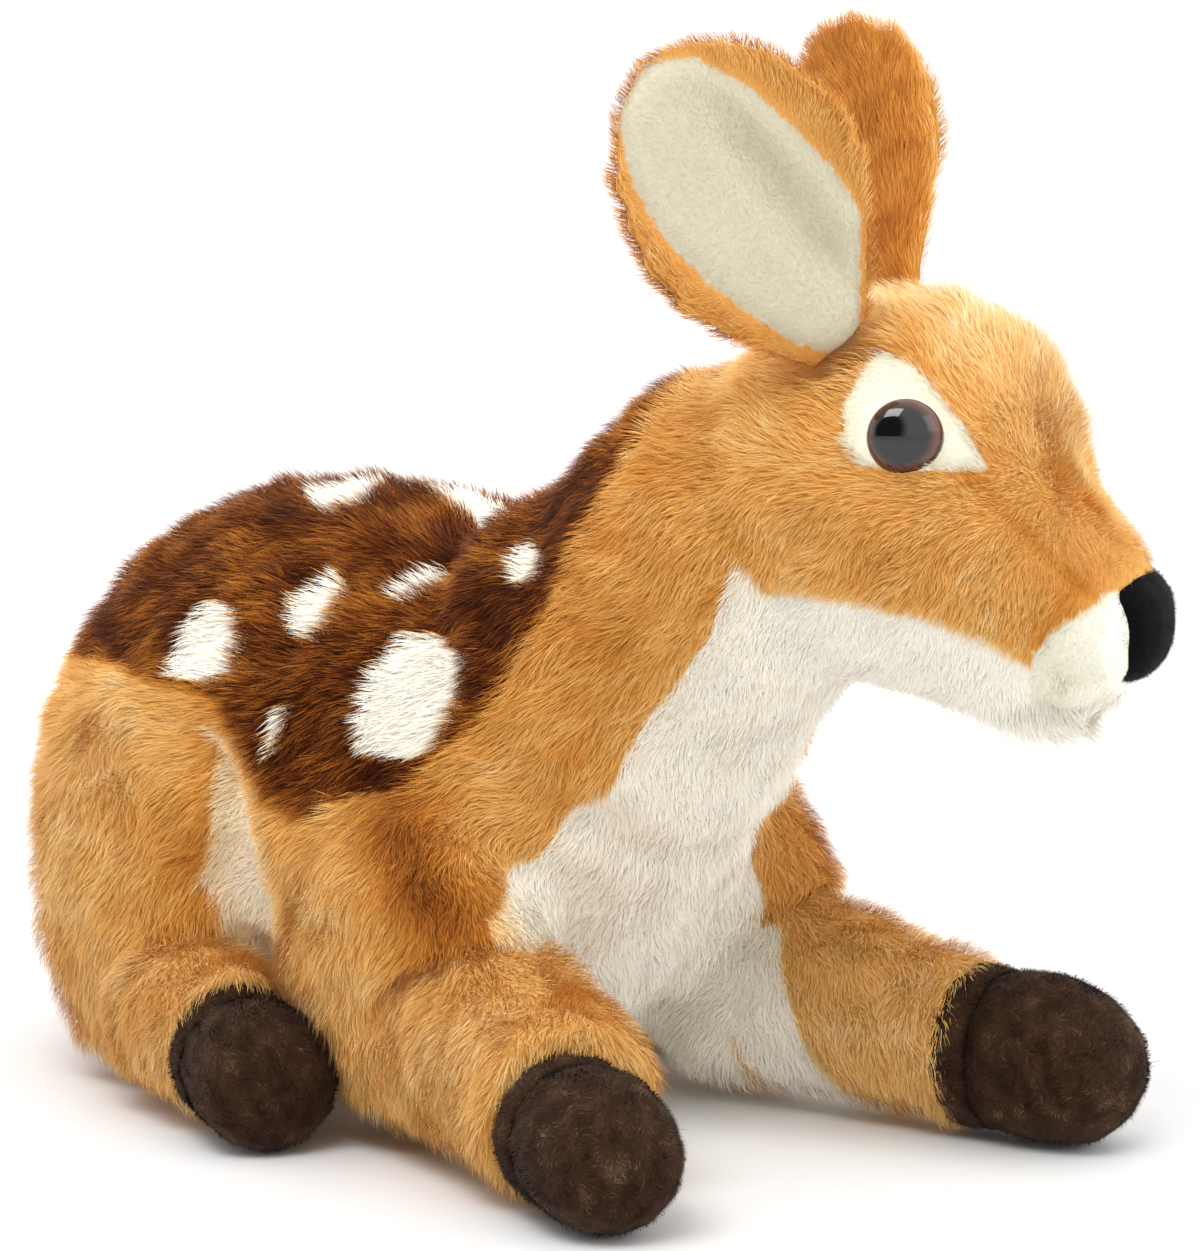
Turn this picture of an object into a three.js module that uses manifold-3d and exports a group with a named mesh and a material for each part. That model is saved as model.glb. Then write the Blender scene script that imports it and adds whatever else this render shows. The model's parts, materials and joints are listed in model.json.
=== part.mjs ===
// A stuffed fawn lying down with its head turned to its left, in millimetres.
// +X is forward, +Y is the fawn's left and +Z is up. The origin is on the flat
// underside of the belly, in the middle plane.

import * as THREE from 'three';
import { mergeVertices } from 'three/addons/utils/BufferGeometryUtils.js';
import Module from 'manifold-3d';

const wasm = await Module();
wasm.setup();

const { degToRad } = THREE.MathUtils;

// Clearances and fabric
const seamGap = 0.3; // between pieces that are sewn or clamped face to face
const turnGap = 0.3; // round the root of a piece that moves in its seat
const restDepth = 0.5; // how deep a form that meets the floor is cut flat
const mergeReach = 0.001; // corners closer than this are one
const mitreLimit = 0.5; // least cosine at a sharp corner of an outline
const overrun = 12; // how far a cutter passes the surface that it cuts
const wallThickness = 4; // plush wall round the loose filling
const panelDepth = 1.8; // how deep a panel of other fabric lies in the wall

// Torso: side view of the trunk, from the rump to the base of the neck
const torsoLength = 176;
const torsoHeight = 128;
const torsoWidth = 110;
const torsoBehind = 58; // from the origin back to the rump

// Each row: top point along and up, bottom point along and up, width
const torsoRowShares = [
  [0.0, 0.52, 0.0, 0.36, 0.24],
  [0.028, 0.66, 0.022, 0.155, 0.52],
  [0.106, 0.8, 0.078, 0.03, 0.74],
  [0.222, 0.915, 0.189, 0.0, 0.88],
  [0.356, 0.98, 0.333, 0.0, 0.97],
  [0.489, 0.99, 0.5, 0.0, 1.0],
  [0.594, 0.972, 0.678, 0.015, 0.97],
  [0.644, 0.945, 0.856, 0.155, 0.89],
  [0.669, 0.926, 1.0, 0.461, 0.78],
];

// Outlines of the panels in side view, along from the rump and up from the floor
const saddleEdgeShares = [
  [-0.1, 0.64],
  [0.2, 0.66],
  [0.35, 0.71],
  [0.49, 0.7],
  [0.545, 0.6],
  [0.61, 0.51],
  [0.68, 0.53],
  [0.755, 0.57],
  [0.84, 0.66],
  [0.95, 0.78],
  [0.98, 1.2],
  [-0.1, 1.2],
];
const chestEdgeShares = [
  [0.88, -0.1],
  [0.885, 0.25],
  [1.12, 0.85],
  [1.4, 0.85],
  [1.4, -0.1],
];
const bellyEdgeShares = [
  [0.2, -0.1],
  [0.25, 0.08],
  [0.48, 0.1],
  [0.5, 0.57],
  [0.575, 0.51],
  [0.6, 0.1],
  [0.85, 0.08],
  [0.85, -0.1],
];

// Thigh: a rounded lobe on each flank
const thighLength = 62;
const thighHeight = 92;
const thighThickness = 40;
const thighBehind = 34; // from the origin back to the lobe's rear edge
const thighOutShare = 0.72; // its middle plane, as a share of the half torso

// Upper arm: the lobe on each side of the chest that carries the elbow
const armLength = 64;
const armHeight = 74;
const armThickness = 40;
const armOutShare = 0.76;
const armLowShare = 0.06; // how far it clears the floor, of its height

// Each row of a lobe: top and bottom along and up, thickness
const lobeRowShares = [
  [0.0, 0.58, 0.0, 0.4, 0.22],
  [0.06, 0.76, 0.04, 0.22, 0.62],
  [0.2, 0.92, 0.16, 0.06, 0.88],
  [0.42, 1.0, 0.4, 0.0, 1.0],
  [0.66, 0.95, 0.68, 0.03, 0.96],
  [0.88, 0.78, 0.9, 0.2, 0.72],
  [1.0, 0.58, 1.0, 0.4, 0.26],
];

// Forelegs: elbow ball, forearm and hoof, level on the floor
const elbowRadius = 18.5;
const elbowHeight = 22.5;
const foreReach = 91; // elbow centre to the tip of the hoof
const foreRadius = 18;
const foreHoofLength = 38;
const foreCuffLength = 10; // the sewn band at the top of the hoof
const foreSwing = 16; // degrees, up and outwards
const foreSwingTilt = 40; // how far the swing turns outwards, in degrees
const foreLiningShares = [0.1, 0.34, 0.25]; // from, to and how far inside of the axis
const foreLegs = {
  right: { along: 79, out: 37, splay: 22, armFront: 108 },
  left: { along: 94, out: 39.5, splay: 8, armFront: 114 },
};

// Hind legs: hock ball, shank and hoof
const hockRadius = 19;
const hockHeight = 20.5;
const hindReach = 53;
const hindRadius = 17;
const hindHoofLength = 31;
const hindCuffLength = 8;
const hindSwing = 15;
const hindSwingTilt = 60;
const hindAlong = 15.5;
const hindOut = 48;
const hindSplay = 23;

// Each row of a leg beyond its ball: along its reach, up and across by its radius,
// and down by the height of its axis
const legRowShares = [
  [0.0, 1.1, 0.88, 1.1],
  [0.2, 1.05, 0.9, 1.04],
  [0.42, 0.82, 0.93, 0.96],
  [0.6, 0.72, 0.97, 0.97],
  [0.76, 0.76, 1.0, 1.0],
  [0.88, 0.62, 0.99, 0.94],
  [0.96, 0.34, 0.82, 0.74],
  [1.0, -0.12, 0.5, 0.36],
];

// Neck: a stuffed tube between a ball in the chest and a ball in the skull
const neckSeatHeight = 12; // of the lower ball's centre over the torso's end
const neckBaseRadius = 41;
const neckTopRadius = 36;
const neckLength = 41; // between the two ball centres
const neckNod = 8; // degrees each way
const neckWaistShare = 0.9; // of the straight taper, half way up
const throatHalfShare = 0.7; // half width of the white throat, of the base
const napeHalfShare = 0.5; // half width of the dark nape at its base
const napeTopShare = 0.22; // and at its top
const neckPanelTopShare = 0.3; // how far the panels run up the top ball

// Head: side view in its own frame, from the back of the skull to the muzzle
const headLength = 96;
const headHeight = 90;
const headWidth = 80;
const headBehind = 6; // from the skull joint back to the rear of the head
const headBelow = 36.5; // from the skull joint down to the jaw
const headTurn = 25; // the resting turn to the left, in degrees
const headTurnRange = 18; // further turn each way
const headRowShares = [
  [0.0, 0.63, 0.0, 0.44, 0.26],
  [0.03, 0.78, 0.03, 0.31, 0.72],
  [0.146, 0.9, 0.146, 0.2, 0.93],
  [0.333, 0.99, 0.333, 0.115, 1.0],
  [0.52, 0.99, 0.5, 0.07, 0.95],
  [0.69, 0.9, 0.625, 0.02, 0.8],
  [0.79, 0.765, 0.708, 0.0, 0.66],
  [0.825, 0.6, 0.78, 0.015, 0.56],
  [0.896, 0.475, 0.844, 0.055, 0.47],
  [0.948, 0.375, 0.896, 0.115, 0.37],
  [0.969, 0.315, 0.938, 0.18, 0.22],
];
const jawEdgeShares = [
  [-0.2, 0.34],
  [0.16, 0.37],
  [0.4, 0.35],
  [0.56, 0.32],
  [0.7, 0.2],
  [0.73, 0.12],
  [0.8, 0.075],
  [1.1, 0.075],
  [1.1, -0.2],
  [-0.2, -0.2],
];
const muzzleEdgeShares = [
  [0.745, 0.145],
  [0.735, 0.22],
  [0.775, 0.285],
  [0.87, 0.34],
  [1.1, 0.34],
  [1.1, 0.1],
  [0.8, 0.1],
];

const muzzleInsetShare = 0.06; // from the middle to the patch, of the nose's width

// Nose
const noseLength = 17;
const noseWidth = 25;
const noseHeight = 23;
const noseAlongShare = 0.895; // its middle, of the head's length
const noseUpShare = 0.267;

// Eyes: a domed button on a shank, held by a washer inside the skull
const eyeRadius = 7.1;
const eyeDomeHeight = 4.6;
const shankRadius = 2.2;
const shankLength = 13;
const washerRadius = 6.4;
const washerThickness = 1.4;
const eyeAlongShare = 0.49;
const eyeUpShare = 0.7;
const eyeForward = 12; // how far the eyes look ahead of sideways, in degrees
const eyeRim = 1.2; // straight edge under the dome
const eyeSink = 1.4; // how deep the rim sits in the patch
const washerSink = 1.6; // behind the flat of the wall
// Corners of the patch from the eye's middle, in eye radii forward and up
const eyePatchShares = [
  [-1.2, 2.2],
  [-1.69, 0.8],
  [-1.62, -0.35],
  [-1.1, -0.98],
  [0.23, -1.15],
  [1.6, -0.98],
  [1.2, 0.45],
  [0.1, 1.6],
];

// Ears: a cupped leaf of fabric with a lining inside
const liningShare = 0.8; // of a leaf's width and length
const earLength = 73;
const earWidth = 53;
const earThickness = 8;
const earCup = 7; // how far its edges stand forward of its middle
const earAlongShare = 0.33;
const earOutShare = 0.55;
const earSink = 2; // how deep its root sits in the head
const earTilt = 38; // degrees sideways, in the plane of the ear
const earPitch = 11; // degrees towards the side that it faces
const earFacing = 53; // degrees outwards from ahead
const earFold = 18; // degrees each way
const earRowShares = [
  [-0.02, 0.3, 0.7],
  [0.05, 0.42, 1.0],
  [0.17, 0.62, 1.0],
  [0.33, 0.88, 0.9],
  [0.5, 1.0, 0.85],
  [0.68, 0.98, 0.8],
  [0.84, 0.78, 0.75],
  [0.95, 0.46, 0.65],
  [1.0, 0.14, 0.4],
];

// Tail: a small flat leaf behind the rump
const tailLength = 34;
const tailWidth = 22;
const tailThickness = 9;
const tailUpShare = 0.57; // its root, of the torso's height
const tailDroop = 58; // degrees below level
const tailStandOff = 3; // of its joint from the rump
const tailLift = 20; // degrees, outwards from where it hangs
const tailRowShares = [
  [-0.08, 0.4, 0.7],
  [0.08, 0.62, 1.0],
  [0.35, 0.95, 1.0],
  [0.6, 1.0, 0.95],
  [0.84, 0.72, 0.8],
  [1.0, 0.2, 0.4],
];

// Counts of flats and rings
// A form's flats are a multiple of four, so that its lowest line reaches the floor
const sides = 12;
const ringCount = 9;
const trunkSides = 16; // on the torso and the head
const trunkRings = 11;
const leafSides = 12;
const leafRings = 8;
const ballSides = 18;
const neckSides = 22;
const neckSteps = 4; // flats in a quarter turn of its ends
const eyeSides = 14;
const coreSides = 8; // the loose filling and the space that holds it
const coreRings = 7;
const roomSides = 12; // the space that a leg swings through
const leafRootShare = 0.27; // how far up its table a leaf's root needs room

// Fabrics and hard trim
const looks = {
  tan: { color: '#c9935a', roughness: 0.95 },
  saddle: { color: '#5e3519', roughness: 0.95 },
  white: { color: '#ece4d8', roughness: 0.95 },
  velour: { color: '#e7e2cb', roughness: 0.9 },
  felt: { color: '#3d3029', roughness: 0.9 },
  nose: { color: '#17161b', roughness: 0.85 },
  eye: { color: '#1b0f0a', roughness: 0.08 },
  washer: { color: '#d8d8d4', roughness: 0.5 },
  filling: { color: '#f4f4f0', roughness: 1.0 },
};

const rightAngle = 90;
const sideSigns = { right: -1, left: 1 };
const along = new THREE.Vector3(1, 0, 0);
const across = new THREE.Vector3(0, 1, 0);
const upward = new THREE.Vector3(0, 0, 1);

// Shapes

/** A closed skin whose triangles share their corners. */
function joined(geometry) {
  const bare = new THREE.BufferGeometry();
  bare.setAttribute('position', geometry.getAttribute('position').clone());
  bare.setIndex(geometry.getIndex());
  const merged = mergeVertices(bare, mergeReach);
  const index = merged.getIndex().array;
  const kept = [];
  for (let i = 0; i < index.length; i += 3) {
    const [a, b, c] = index.slice(i, i + 3);
    if (a !== b && b !== c && c !== a) kept.push(a, b, c);
  }
  merged.setIndex(kept);
  return merged;
}

function toSolid(geometry) {
  const merged = joined(geometry);
  const mesh = new wasm.Mesh({
    numProp: 3,
    vertProperties: new Float32Array(merged.getAttribute('position').array),
    triVerts: new Uint32Array(merged.getIndex().array),
  });
  return new wasm.Manifold(mesh);
}

function toGeometry(solid) {
  const mesh = solid.getMesh();
  const geometry = new THREE.BufferGeometry();
  geometry.setAttribute('position', new THREE.BufferAttribute(mesh.vertProperties, 3));
  geometry.setIndex(new THREE.BufferAttribute(mesh.triVerts, 1));
  geometry.computeVertexNormals();
  return geometry;
}

/** Rings of points, each ring closed, joined into a skin with a fan at each end. */
function skin(rings) {
  const count = rings[0].length;
  const points = rings.flat();
  const first = points.length;
  const ends = [rings[0], rings[rings.length - 1]];
  for (const ring of ends) {
    const middle = new THREE.Vector3();
    ring.forEach((point) => middle.add(point));
    points.push(middle.divideScalar(count));
  }
  const faces = [];
  for (let i = 0; i < count; i += 1) {
    const next = (i + 1) % count;
    faces.push(first, next, i);
    const last = (rings.length - 1) * count;
    faces.push(first + 1, last + i, last + next);
    for (let ring = 1; ring < rings.length; ring += 1) {
      const low = (ring - 1) * count;
      const high = ring * count;
      faces.push(low + i, low + next, high + next);
      faces.push(low + i, high + next, high + i);
    }
  }
  const geometry = new THREE.BufferGeometry().setFromPoints(points);
  geometry.setIndex(faces);
  return geometry;
}

/** The same skin moved out along its own normals, or in where grow is negative. */
function offset(geometry, grow) {
  const moved = joined(geometry);
  moved.computeVertexNormals();
  const position = moved.getAttribute('position');
  const normal = moved.getAttribute('normal');
  const point = new THREE.Vector3();
  const step = new THREE.Vector3();
  for (let i = 0; i < position.count; i += 1) {
    point.fromBufferAttribute(position, i);
    step.fromBufferAttribute(normal, i).multiplyScalar(grow);
    point.add(step);
    position.setXYZ(i, point.x, point.y, point.z);
  }
  return moved;
}

/** A smooth function through a table's column. */
function column(rows, index, size) {
  const points = rows.map((row, i) => new THREE.Vector2(i, row[index] * size));
  const curve = new THREE.SplineCurve(points);
  return (t) => curve.getPoint(t).y;
}

/** A stuffed form from its side view: x along, z up, y across. */
function sideForm(rows, length, height, width, rings = ringCount, count = sides) {
  const topX = column(rows, 0, length);
  const topZ = column(rows, 1, height);
  const bottomX = column(rows, 2, length);
  const bottomZ = column(rows, 3, height);
  const halfWidth = column(rows, 4, width / 2);
  const list = [];
  for (let ring = 0; ring < rings; ring += 1) {
    const t = ring / (rings - 1);
    const top = new THREE.Vector3(topX(t), 0, topZ(t));
    const bottom = new THREE.Vector3(bottomX(t), 0, bottomZ(t));
    const middle = top.clone().add(bottom).multiplyScalar(0.5);
    const half = top.clone().sub(middle);
    const points = [];
    for (let i = 0; i < count; i += 1) {
      const angle = (2 * Math.PI * i) / count;
      const point = middle.clone().addScaledVector(half, Math.sin(angle));
      points.push(point.addScaledVector(across, halfWidth(t) * Math.cos(angle)));
    }
    list.push(points);
  }
  return skin(list);
}

/** A leg beyond its ball, x along it from the ball's centre. */
function legForm({ reach, radius, axisHeight }) {
  const fall = axisHeight + restDepth;
  const rows = legRowShares.map(([x, up, down, width]) => {
    return [x, (up * radius) / fall, x, -down, width];
  });
  return sideForm(rows, reach, fall, 2 * radius);
}

/** A plain skin of few flats that encloses a leg with room to turn. */
function legRoom({ reach, radius, axisHeight }) {
  const fall = axisHeight + restDepth;
  const grown = 1 / Math.cos(Math.PI / roomSides);
  const rows = legRowShares.map(([x, up, down, width]) => {
    return [x, (up * radius * grown) / fall, x, -down * grown, width * grown];
  });
  const skinForm = sideForm(rows, reach, fall, 2 * radius, ringCount, roomSides);
  return toSolid(offset(skinForm, turnGap));
}

/** A flat leaf: z along it, y across, x the way it faces; its edges cup forward. */
function leafForm(rows, length, width, thickness, cup) {
  const station = column(rows, 0, length);
  const halfWidth = column(rows, 1, width / 2);
  const halfThickness = column(rows, 2, thickness / 2);
  const list = [];
  for (let ring = 0; ring < leafRings; ring += 1) {
    const t = ring / (leafRings - 1);
    const points = [];
    for (let i = 0; i < leafSides; i += 1) {
      const angle = (2 * Math.PI * i) / leafSides;
      const out = Math.sin(angle);
      const bend = cup * ((halfWidth(t) * out) / (width / 2)) ** 2;
      const face = halfThickness(t) * Math.cos(angle) + bend;
      points.push(new THREE.Vector3(face, halfWidth(t) * out, station(t)));
    }
    list.push(points);
  }
  return skin(list);
}

/** A leaf's outline, narrowed, as a block that runs through it. */
function leafBlock(rows, length, width, margin) {
  const start = ((1 - liningShare) * length) / 2;
  const shape = new THREE.Shape();
  const points = rows.map(([z, wide]) => {
    return [(wide * liningShare * width) / 2 + margin, start + z * liningShare * length];
  });
  points[0][1] -= margin;
  points[points.length - 1][1] += margin;
  const mirrored = points.map(([y, z]) => [-y, z]).reverse();
  shape.setFromPoints([...points, ...mirrored].map(([y, z]) => new THREE.Vector2(y, z)));
  const geometry = new THREE.ExtrudeGeometry(shape, { depth: width, bevelEnabled: false });
  geometry.translate(0, 0, -width / 2);
  geometry.rotateX(Math.PI / 2);
  geometry.rotateZ(Math.PI / 2);
  return toSolid(geometry);
}

/** A leaf and the lining let into one face of it; facing 1 is its front, -1 its back. */
function linedLeaf(form, rows, length, width, facing) {
  const whole = toSolid(form);
  const under = toSolid(form).translate(-facing * panelDepth, 0, 0);
  const deeper = toSolid(form).translate(-facing * (panelDepth + seamGap), 0, 0);
  const lining = whole.intersect(leafBlock(rows, length, width, 0)).subtract(under);
  const recess = leafBlock(rows, length, width, seamGap).subtract(deeper);
  return { lining, back: whole.subtract(recess) };
}

/** The wedge that the root of a leaf needs where it folds about y by an angle. */
function leafRoom(rows, length, width, thickness, cup, fold, high) {
  const station = column(rows, 0, length);
  const halfWidth = column(rows, 1, width / 2);
  const list = [];
  const dip = (thickness / 2) * Math.tan(degToRad(fold)) + turnGap;
  for (const t of [0, high / 2, high]) {
    const half = halfWidth(t) + turnGap;
    const lift = Math.max(station(t), 0);
    const lean = thickness / 2 + turnGap + lift * Math.tan(degToRad(fold));
    const front = lean + cup * ((2 * half) / width) ** 2;
    const z = station(t) - (t === 0 ? dip : 0);
    list.push([
      new THREE.Vector3(front, -half, z),
      new THREE.Vector3(front, half, z),
      new THREE.Vector3(-lean, half, z),
      new THREE.Vector3(-lean, -half, z),
    ]);
  }
  return toSolid(skin(list));
}

/** A solid of revolution about z from a profile of radius and height. */
function turned(profile, flats = ballSides) {
  const points = profile.map(([radius, height]) => new THREE.Vector2(radius, height));
  const geometry = new THREE.LatheGeometry(points, flats);
  return geometry.rotateX(Math.PI / 2);
}

/** The radius at which the flats of a round seat stay clear of what turns in it. */
function seatRadius(radius, flats) {
  return (radius + turnGap) / Math.cos(Math.PI / flats);
}

/** The seat of a ball, which has flats both round it and along it. */
function seatBall(radius, flats = ballSides) {
  const grown = seatRadius(radius, flats) / Math.cos(Math.PI / flats);
  return toSolid(new THREE.SphereGeometry(grown, flats, flats / 2));
}

function ball(radius) {
  return toSolid(new THREE.SphereGeometry(radius, ballSides, ballSides / 2));
}

/** A block whose outline is drawn in the x-z plane and which runs across it. */
function sideBlock(outline, depth) {
  const shape = new THREE.Shape(outline.map(([x, z]) => new THREE.Vector2(x, z)));
  const geometry = new THREE.ExtrudeGeometry(shape, { depth, bevelEnabled: false });
  geometry.translate(0, 0, -depth / 2);
  geometry.rotateX(Math.PI / 2);
  return toSolid(geometry);
}

/** An outline in shares, in real lengths and grown by a margin from its middle. */
function outlineOf(shares, length, height, margin = 0) {
  const points = shares.map(([x, z]) => new THREE.Vector2(x * length, z * height));
  const count = points.length;
  return points.map((point, i) => {
    const before = points[(i + count - 1) % count];
    const after = points[(i + 1) % count];
    const edgeIn = point.clone().sub(before).normalize();
    const edgeOut = after.clone().sub(point).normalize();
    const turn = THREE.ShapeUtils.isClockWise(points) ? 1 : -1;
    const normalIn = new THREE.Vector2(-edgeIn.y, edgeIn.x).multiplyScalar(turn);
    const normalOut = new THREE.Vector2(-edgeOut.y, edgeOut.x).multiplyScalar(turn);
    const corner = normalIn.clone().add(normalOut).normalize();
    const reach = margin / Math.max(corner.dot(normalIn), mitreLimit);
    point = point.clone().addScaledVector(corner, reach);
    return [point.x, point.y];
  });
}

// Frames

function frame(parent, position, turns = []) {
  const group = new THREE.Group();
  group.position.copy(position);
  for (const [axis, degrees] of turns) {
    group.quaternion.multiply(
      new THREE.Quaternion().setFromAxisAngle(axis, degToRad(degrees)),
    );
  }
  parent.add(group);
  group.updateWorldMatrix(true, false);
  return group;
}

function toWorld(solid, group) {
  return solid.transform(group.matrixWorld.elements);
}

function toLocal(solid, group) {
  return solid.transform(group.matrixWorld.clone().invert().elements);
}

/** A solid in world space turned about an axis through a point. */
function turnedAbout(solid, point, axis, degrees) {
  const away = new THREE.Matrix4().makeTranslation(-point.x, -point.y, -point.z);
  const turn = new THREE.Matrix4().makeRotationAxis(axis, degToRad(degrees));
  const back = new THREE.Matrix4().makeTranslation(point.x, point.y, point.z);
  return solid.transform(back.multiply(turn).multiply(away).elements);
}

/** The space that a moving solid sweeps between its limits. */
function swept(solid, point, axis, angles) {
  return angles
    .map((degrees) => turnedAbout(solid, point, axis, degrees))
    .reduce((all, one) => all.add(one));
}

const fawn = new THREE.Group();

/** A solid without the crumbs that a cut may leave beside it. */
function wholePiece(solid) {
  return solid.decompose().reduce((best, one) => (one.volume() > best.volume() ? one : best));
}

function addPiece(name, solid, group, look) {
  const material = new THREE.MeshStandardMaterial({ ...looks[look], metalness: 0 });
  const mesh = new THREE.Mesh(toGeometry(toLocal(wholePiece(solid), group)), material);
  mesh.name = name;
  group.add(mesh);
}

/** A panel of other fabric in a form's outer layer, and the recess that it lies in. */
function inlay(form, place, block, blockGrown) {
  const whole = toWorld(toSolid(form), place);
  const deep = toWorld(toSolid(offset(form, -panelDepth)), place);
  const deeper = toWorld(toSolid(offset(form, -panelDepth - seamGap)), place);
  const panel = whole.intersect(block).subtract(deep);
  const recess = blockGrown.subtract(deeper);
  return { panel, recess };
}

/** The part of a solid over the floor. */
function overFloor(solid) {
  return solid.trimByPlane([0, 0, 1], 0);
}

/** Where a line from far outside first meets a form, in the form's own frame. */
function surfacePoint(form, target, outward) {
  const mesh = new THREE.Mesh(form, new THREE.MeshBasicMaterial({ side: THREE.DoubleSide }));
  const reach = torsoLength + headLength;
  const start = target.clone().addScaledVector(outward, reach);
  const ray = new THREE.Raycaster(start, outward.clone().negate());
  return ray.intersectObject(mesh)[0].point;
}

// Torso form and the frames that hang on it

const torsoForm = sideForm(
  torsoRowShares,
  torsoLength,
  torsoHeight,
  torsoWidth,
  trunkRings,
  trunkSides,
);
torsoForm.translate(-torsoBehind, 0, -restDepth);
const torsoCore = sideForm(
  torsoRowShares,
  torsoLength,
  torsoHeight,
  torsoWidth,
  coreRings,
  coreSides,
);
torsoCore.translate(-torsoBehind, 0, -restDepth);

const lastRow = torsoRowShares[torsoRowShares.length - 1];
const torsoEndTop = new THREE.Vector3(lastRow[0] * torsoLength, 0, lastRow[1] * torsoHeight);
const torsoEndLow = new THREE.Vector3(lastRow[2] * torsoLength, 0, lastRow[3] * torsoHeight);
const torsoEnd = torsoEndTop.clone().sub(torsoEndLow);
const neckDirection = new THREE.Vector3(torsoEnd.z, 0, -torsoEnd.x).normalize();
const neckLean = THREE.MathUtils.radToDeg(Math.atan2(neckDirection.x, neckDirection.z));
const neckPlace = torsoEndTop
  .clone()
  .add(torsoEndLow)
  .multiplyScalar(0.5)
  .add(new THREE.Vector3(-torsoBehind, 0, -restDepth))
  .addScaledVector(neckDirection, neckSeatHeight);

const neckFrame = frame(fawn, neckPlace, [[across, neckLean]]);
const headFrame = frame(neckFrame, new THREE.Vector3(0, 0, neckLength), [
  [across, -neckLean],
  [upward, headTurn],
]);

function legFrame(place, height, side, splay) {
  const position = new THREE.Vector3(place[0], side * place[1], height);
  return frame(fawn, position, [[upward, side * splay]]);
}

/** The axis about which a leg swings up and outwards. */
function swingAxis(group, side, tilt) {
  const level = across.clone().applyQuaternion(group.quaternion);
  const axis = level.multiplyScalar(-Math.cos(degToRad(tilt)));
  return axis.addScaledVector(upward, side * Math.sin(degToRad(tilt)));
}

const fore = {
  reach: foreReach,
  radius: foreRadius,
  axisHeight: elbowHeight,
  ballRadius: elbowRadius,
  hoofLength: foreHoofLength,
  cuffLength: foreCuffLength,
  swing: foreSwing,
  tilt: foreSwingTilt,
};
const hind = {
  reach: hindReach,
  radius: hindRadius,
  axisHeight: hockHeight,
  ballRadius: hockRadius,
  hoofLength: hindHoofLength,
  cuffLength: hindCuffLength,
  swing: hindSwing,
  tilt: hindSwingTilt,
};

/** A leg's frame, its axis and the space that it needs in its neighbours. */
function legOf(kind, place, side, splay) {
  const group = legFrame(place, kind.axisHeight, side, splay);
  const axis = swingAxis(group, side, kind.tilt);
  const angles = [0, kind.swing / 2, kind.swing];
  const room = swept(toWorld(legRoom(kind), group), group.position, axis, angles);
  const space = room.add(toWorld(seatBall(kind.ballRadius), group));
  return { kind, group, side, axis, space };
}

const legs = {
  foreRight: legOf(fore, [foreLegs.right.along, foreLegs.right.out], -1, foreLegs.right.splay),
  foreLeft: legOf(fore, [foreLegs.left.along, foreLegs.left.out], 1, foreLegs.left.splay),
  hindRight: legOf(hind, [hindAlong, hindOut], -1, hindSplay),
  hindLeft: legOf(hind, [hindAlong, hindOut], 1, hindSplay),
};
const legSpaces = Object.values(legs).map((leg) => leg.space);
const legSpace = legSpaces.reduce((all, one) => all.add(one));

// Tail

const tailRoot = surfacePoint(
  torsoForm,
  new THREE.Vector3(0, 0, tailUpShare * torsoHeight),
  along.clone().negate(),
);
tailRoot.addScaledVector(along, -tailStandOff);
const tailFrame = frame(fawn, tailRoot, [[across, -rightAngle - tailDroop]]);
const tailForm = leafForm(tailRowShares, tailLength, tailWidth, tailThickness, 0);
const tailSpace = toWorld(
  leafRoom(tailRowShares, tailLength, tailWidth, tailThickness, 0, tailLift, leafRootShare),
  tailFrame,
);

// Neck

/** The neck's outline in radius and height, with a ball at each end. */
function neckProfile(grow) {
  const arc = (radius, height, from, to) => {
    return Array.from({ length: neckSteps + 1 }, (_, i) => {
      const angle = from + ((to - from) * i) / neckSteps;
      return [(radius + grow) * Math.cos(angle), height + (radius + grow) * Math.sin(angle)];
    });
  };
  const quarter = Math.PI / 2;
  const waist = ((neckBaseRadius + neckTopRadius) / 2) * neckWaistShare + grow;
  const profile = [
    ...arc(neckBaseRadius, 0, -quarter, 0),
    [waist, neckLength / 2],
    ...arc(neckTopRadius, neckLength, 0, quarter),
  ];
  profile[0][0] = 0;
  profile[profile.length - 1][0] = 0;
  return profile;
}

const neckForm = turned(neckProfile(0), neckSides);
const neckGrow = seatRadius(neckTopRadius, neckSides) - neckTopRadius;
const neckSpace = toWorld(toSolid(turned(neckProfile(neckGrow), neckSides)), neckFrame);
const neckSeat = toWorld(seatBall(neckBaseRadius, neckSides), neckFrame);

// Torso: skin, filling, and panels of other fabric let into the skin

const torsoSpan = 2 * torsoWidth; // passes the torso on both sides

/** A block across the torso, from an outline that starts at the rump. */
function torsoBlock(shares, margin) {
  const outline = outlineOf(shares, torsoLength, torsoHeight, margin);
  return sideBlock(outline, torsoSpan).translate(-torsoBehind, 0, -restDepth);
}

function torsoInlay(shares) {
  const block = torsoBlock(shares, 0);
  return inlay(torsoForm, fawn, block, torsoBlock(shares, seamGap));
}

const saddle = torsoInlay(saddleEdgeShares);
const chest = torsoInlay(chestEdgeShares);
const belly = torsoInlay(bellyEdgeShares);

const torsoWhole = overFloor(toSolid(torsoForm));
const torsoInside = toSolid(offset(torsoCore, -wallThickness));
const torsoFill = toSolid(offset(torsoCore, -wallThickness - seamGap));
const torsoCuts = legSpace.add(neckSeat).add(tailSpace);
const torsoSkin = torsoWhole
  .subtract(torsoInside)
  .subtract(torsoCuts)
  .subtract(saddle.recess)
  .subtract(chest.recess)
  .subtract(belly.recess);

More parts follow.
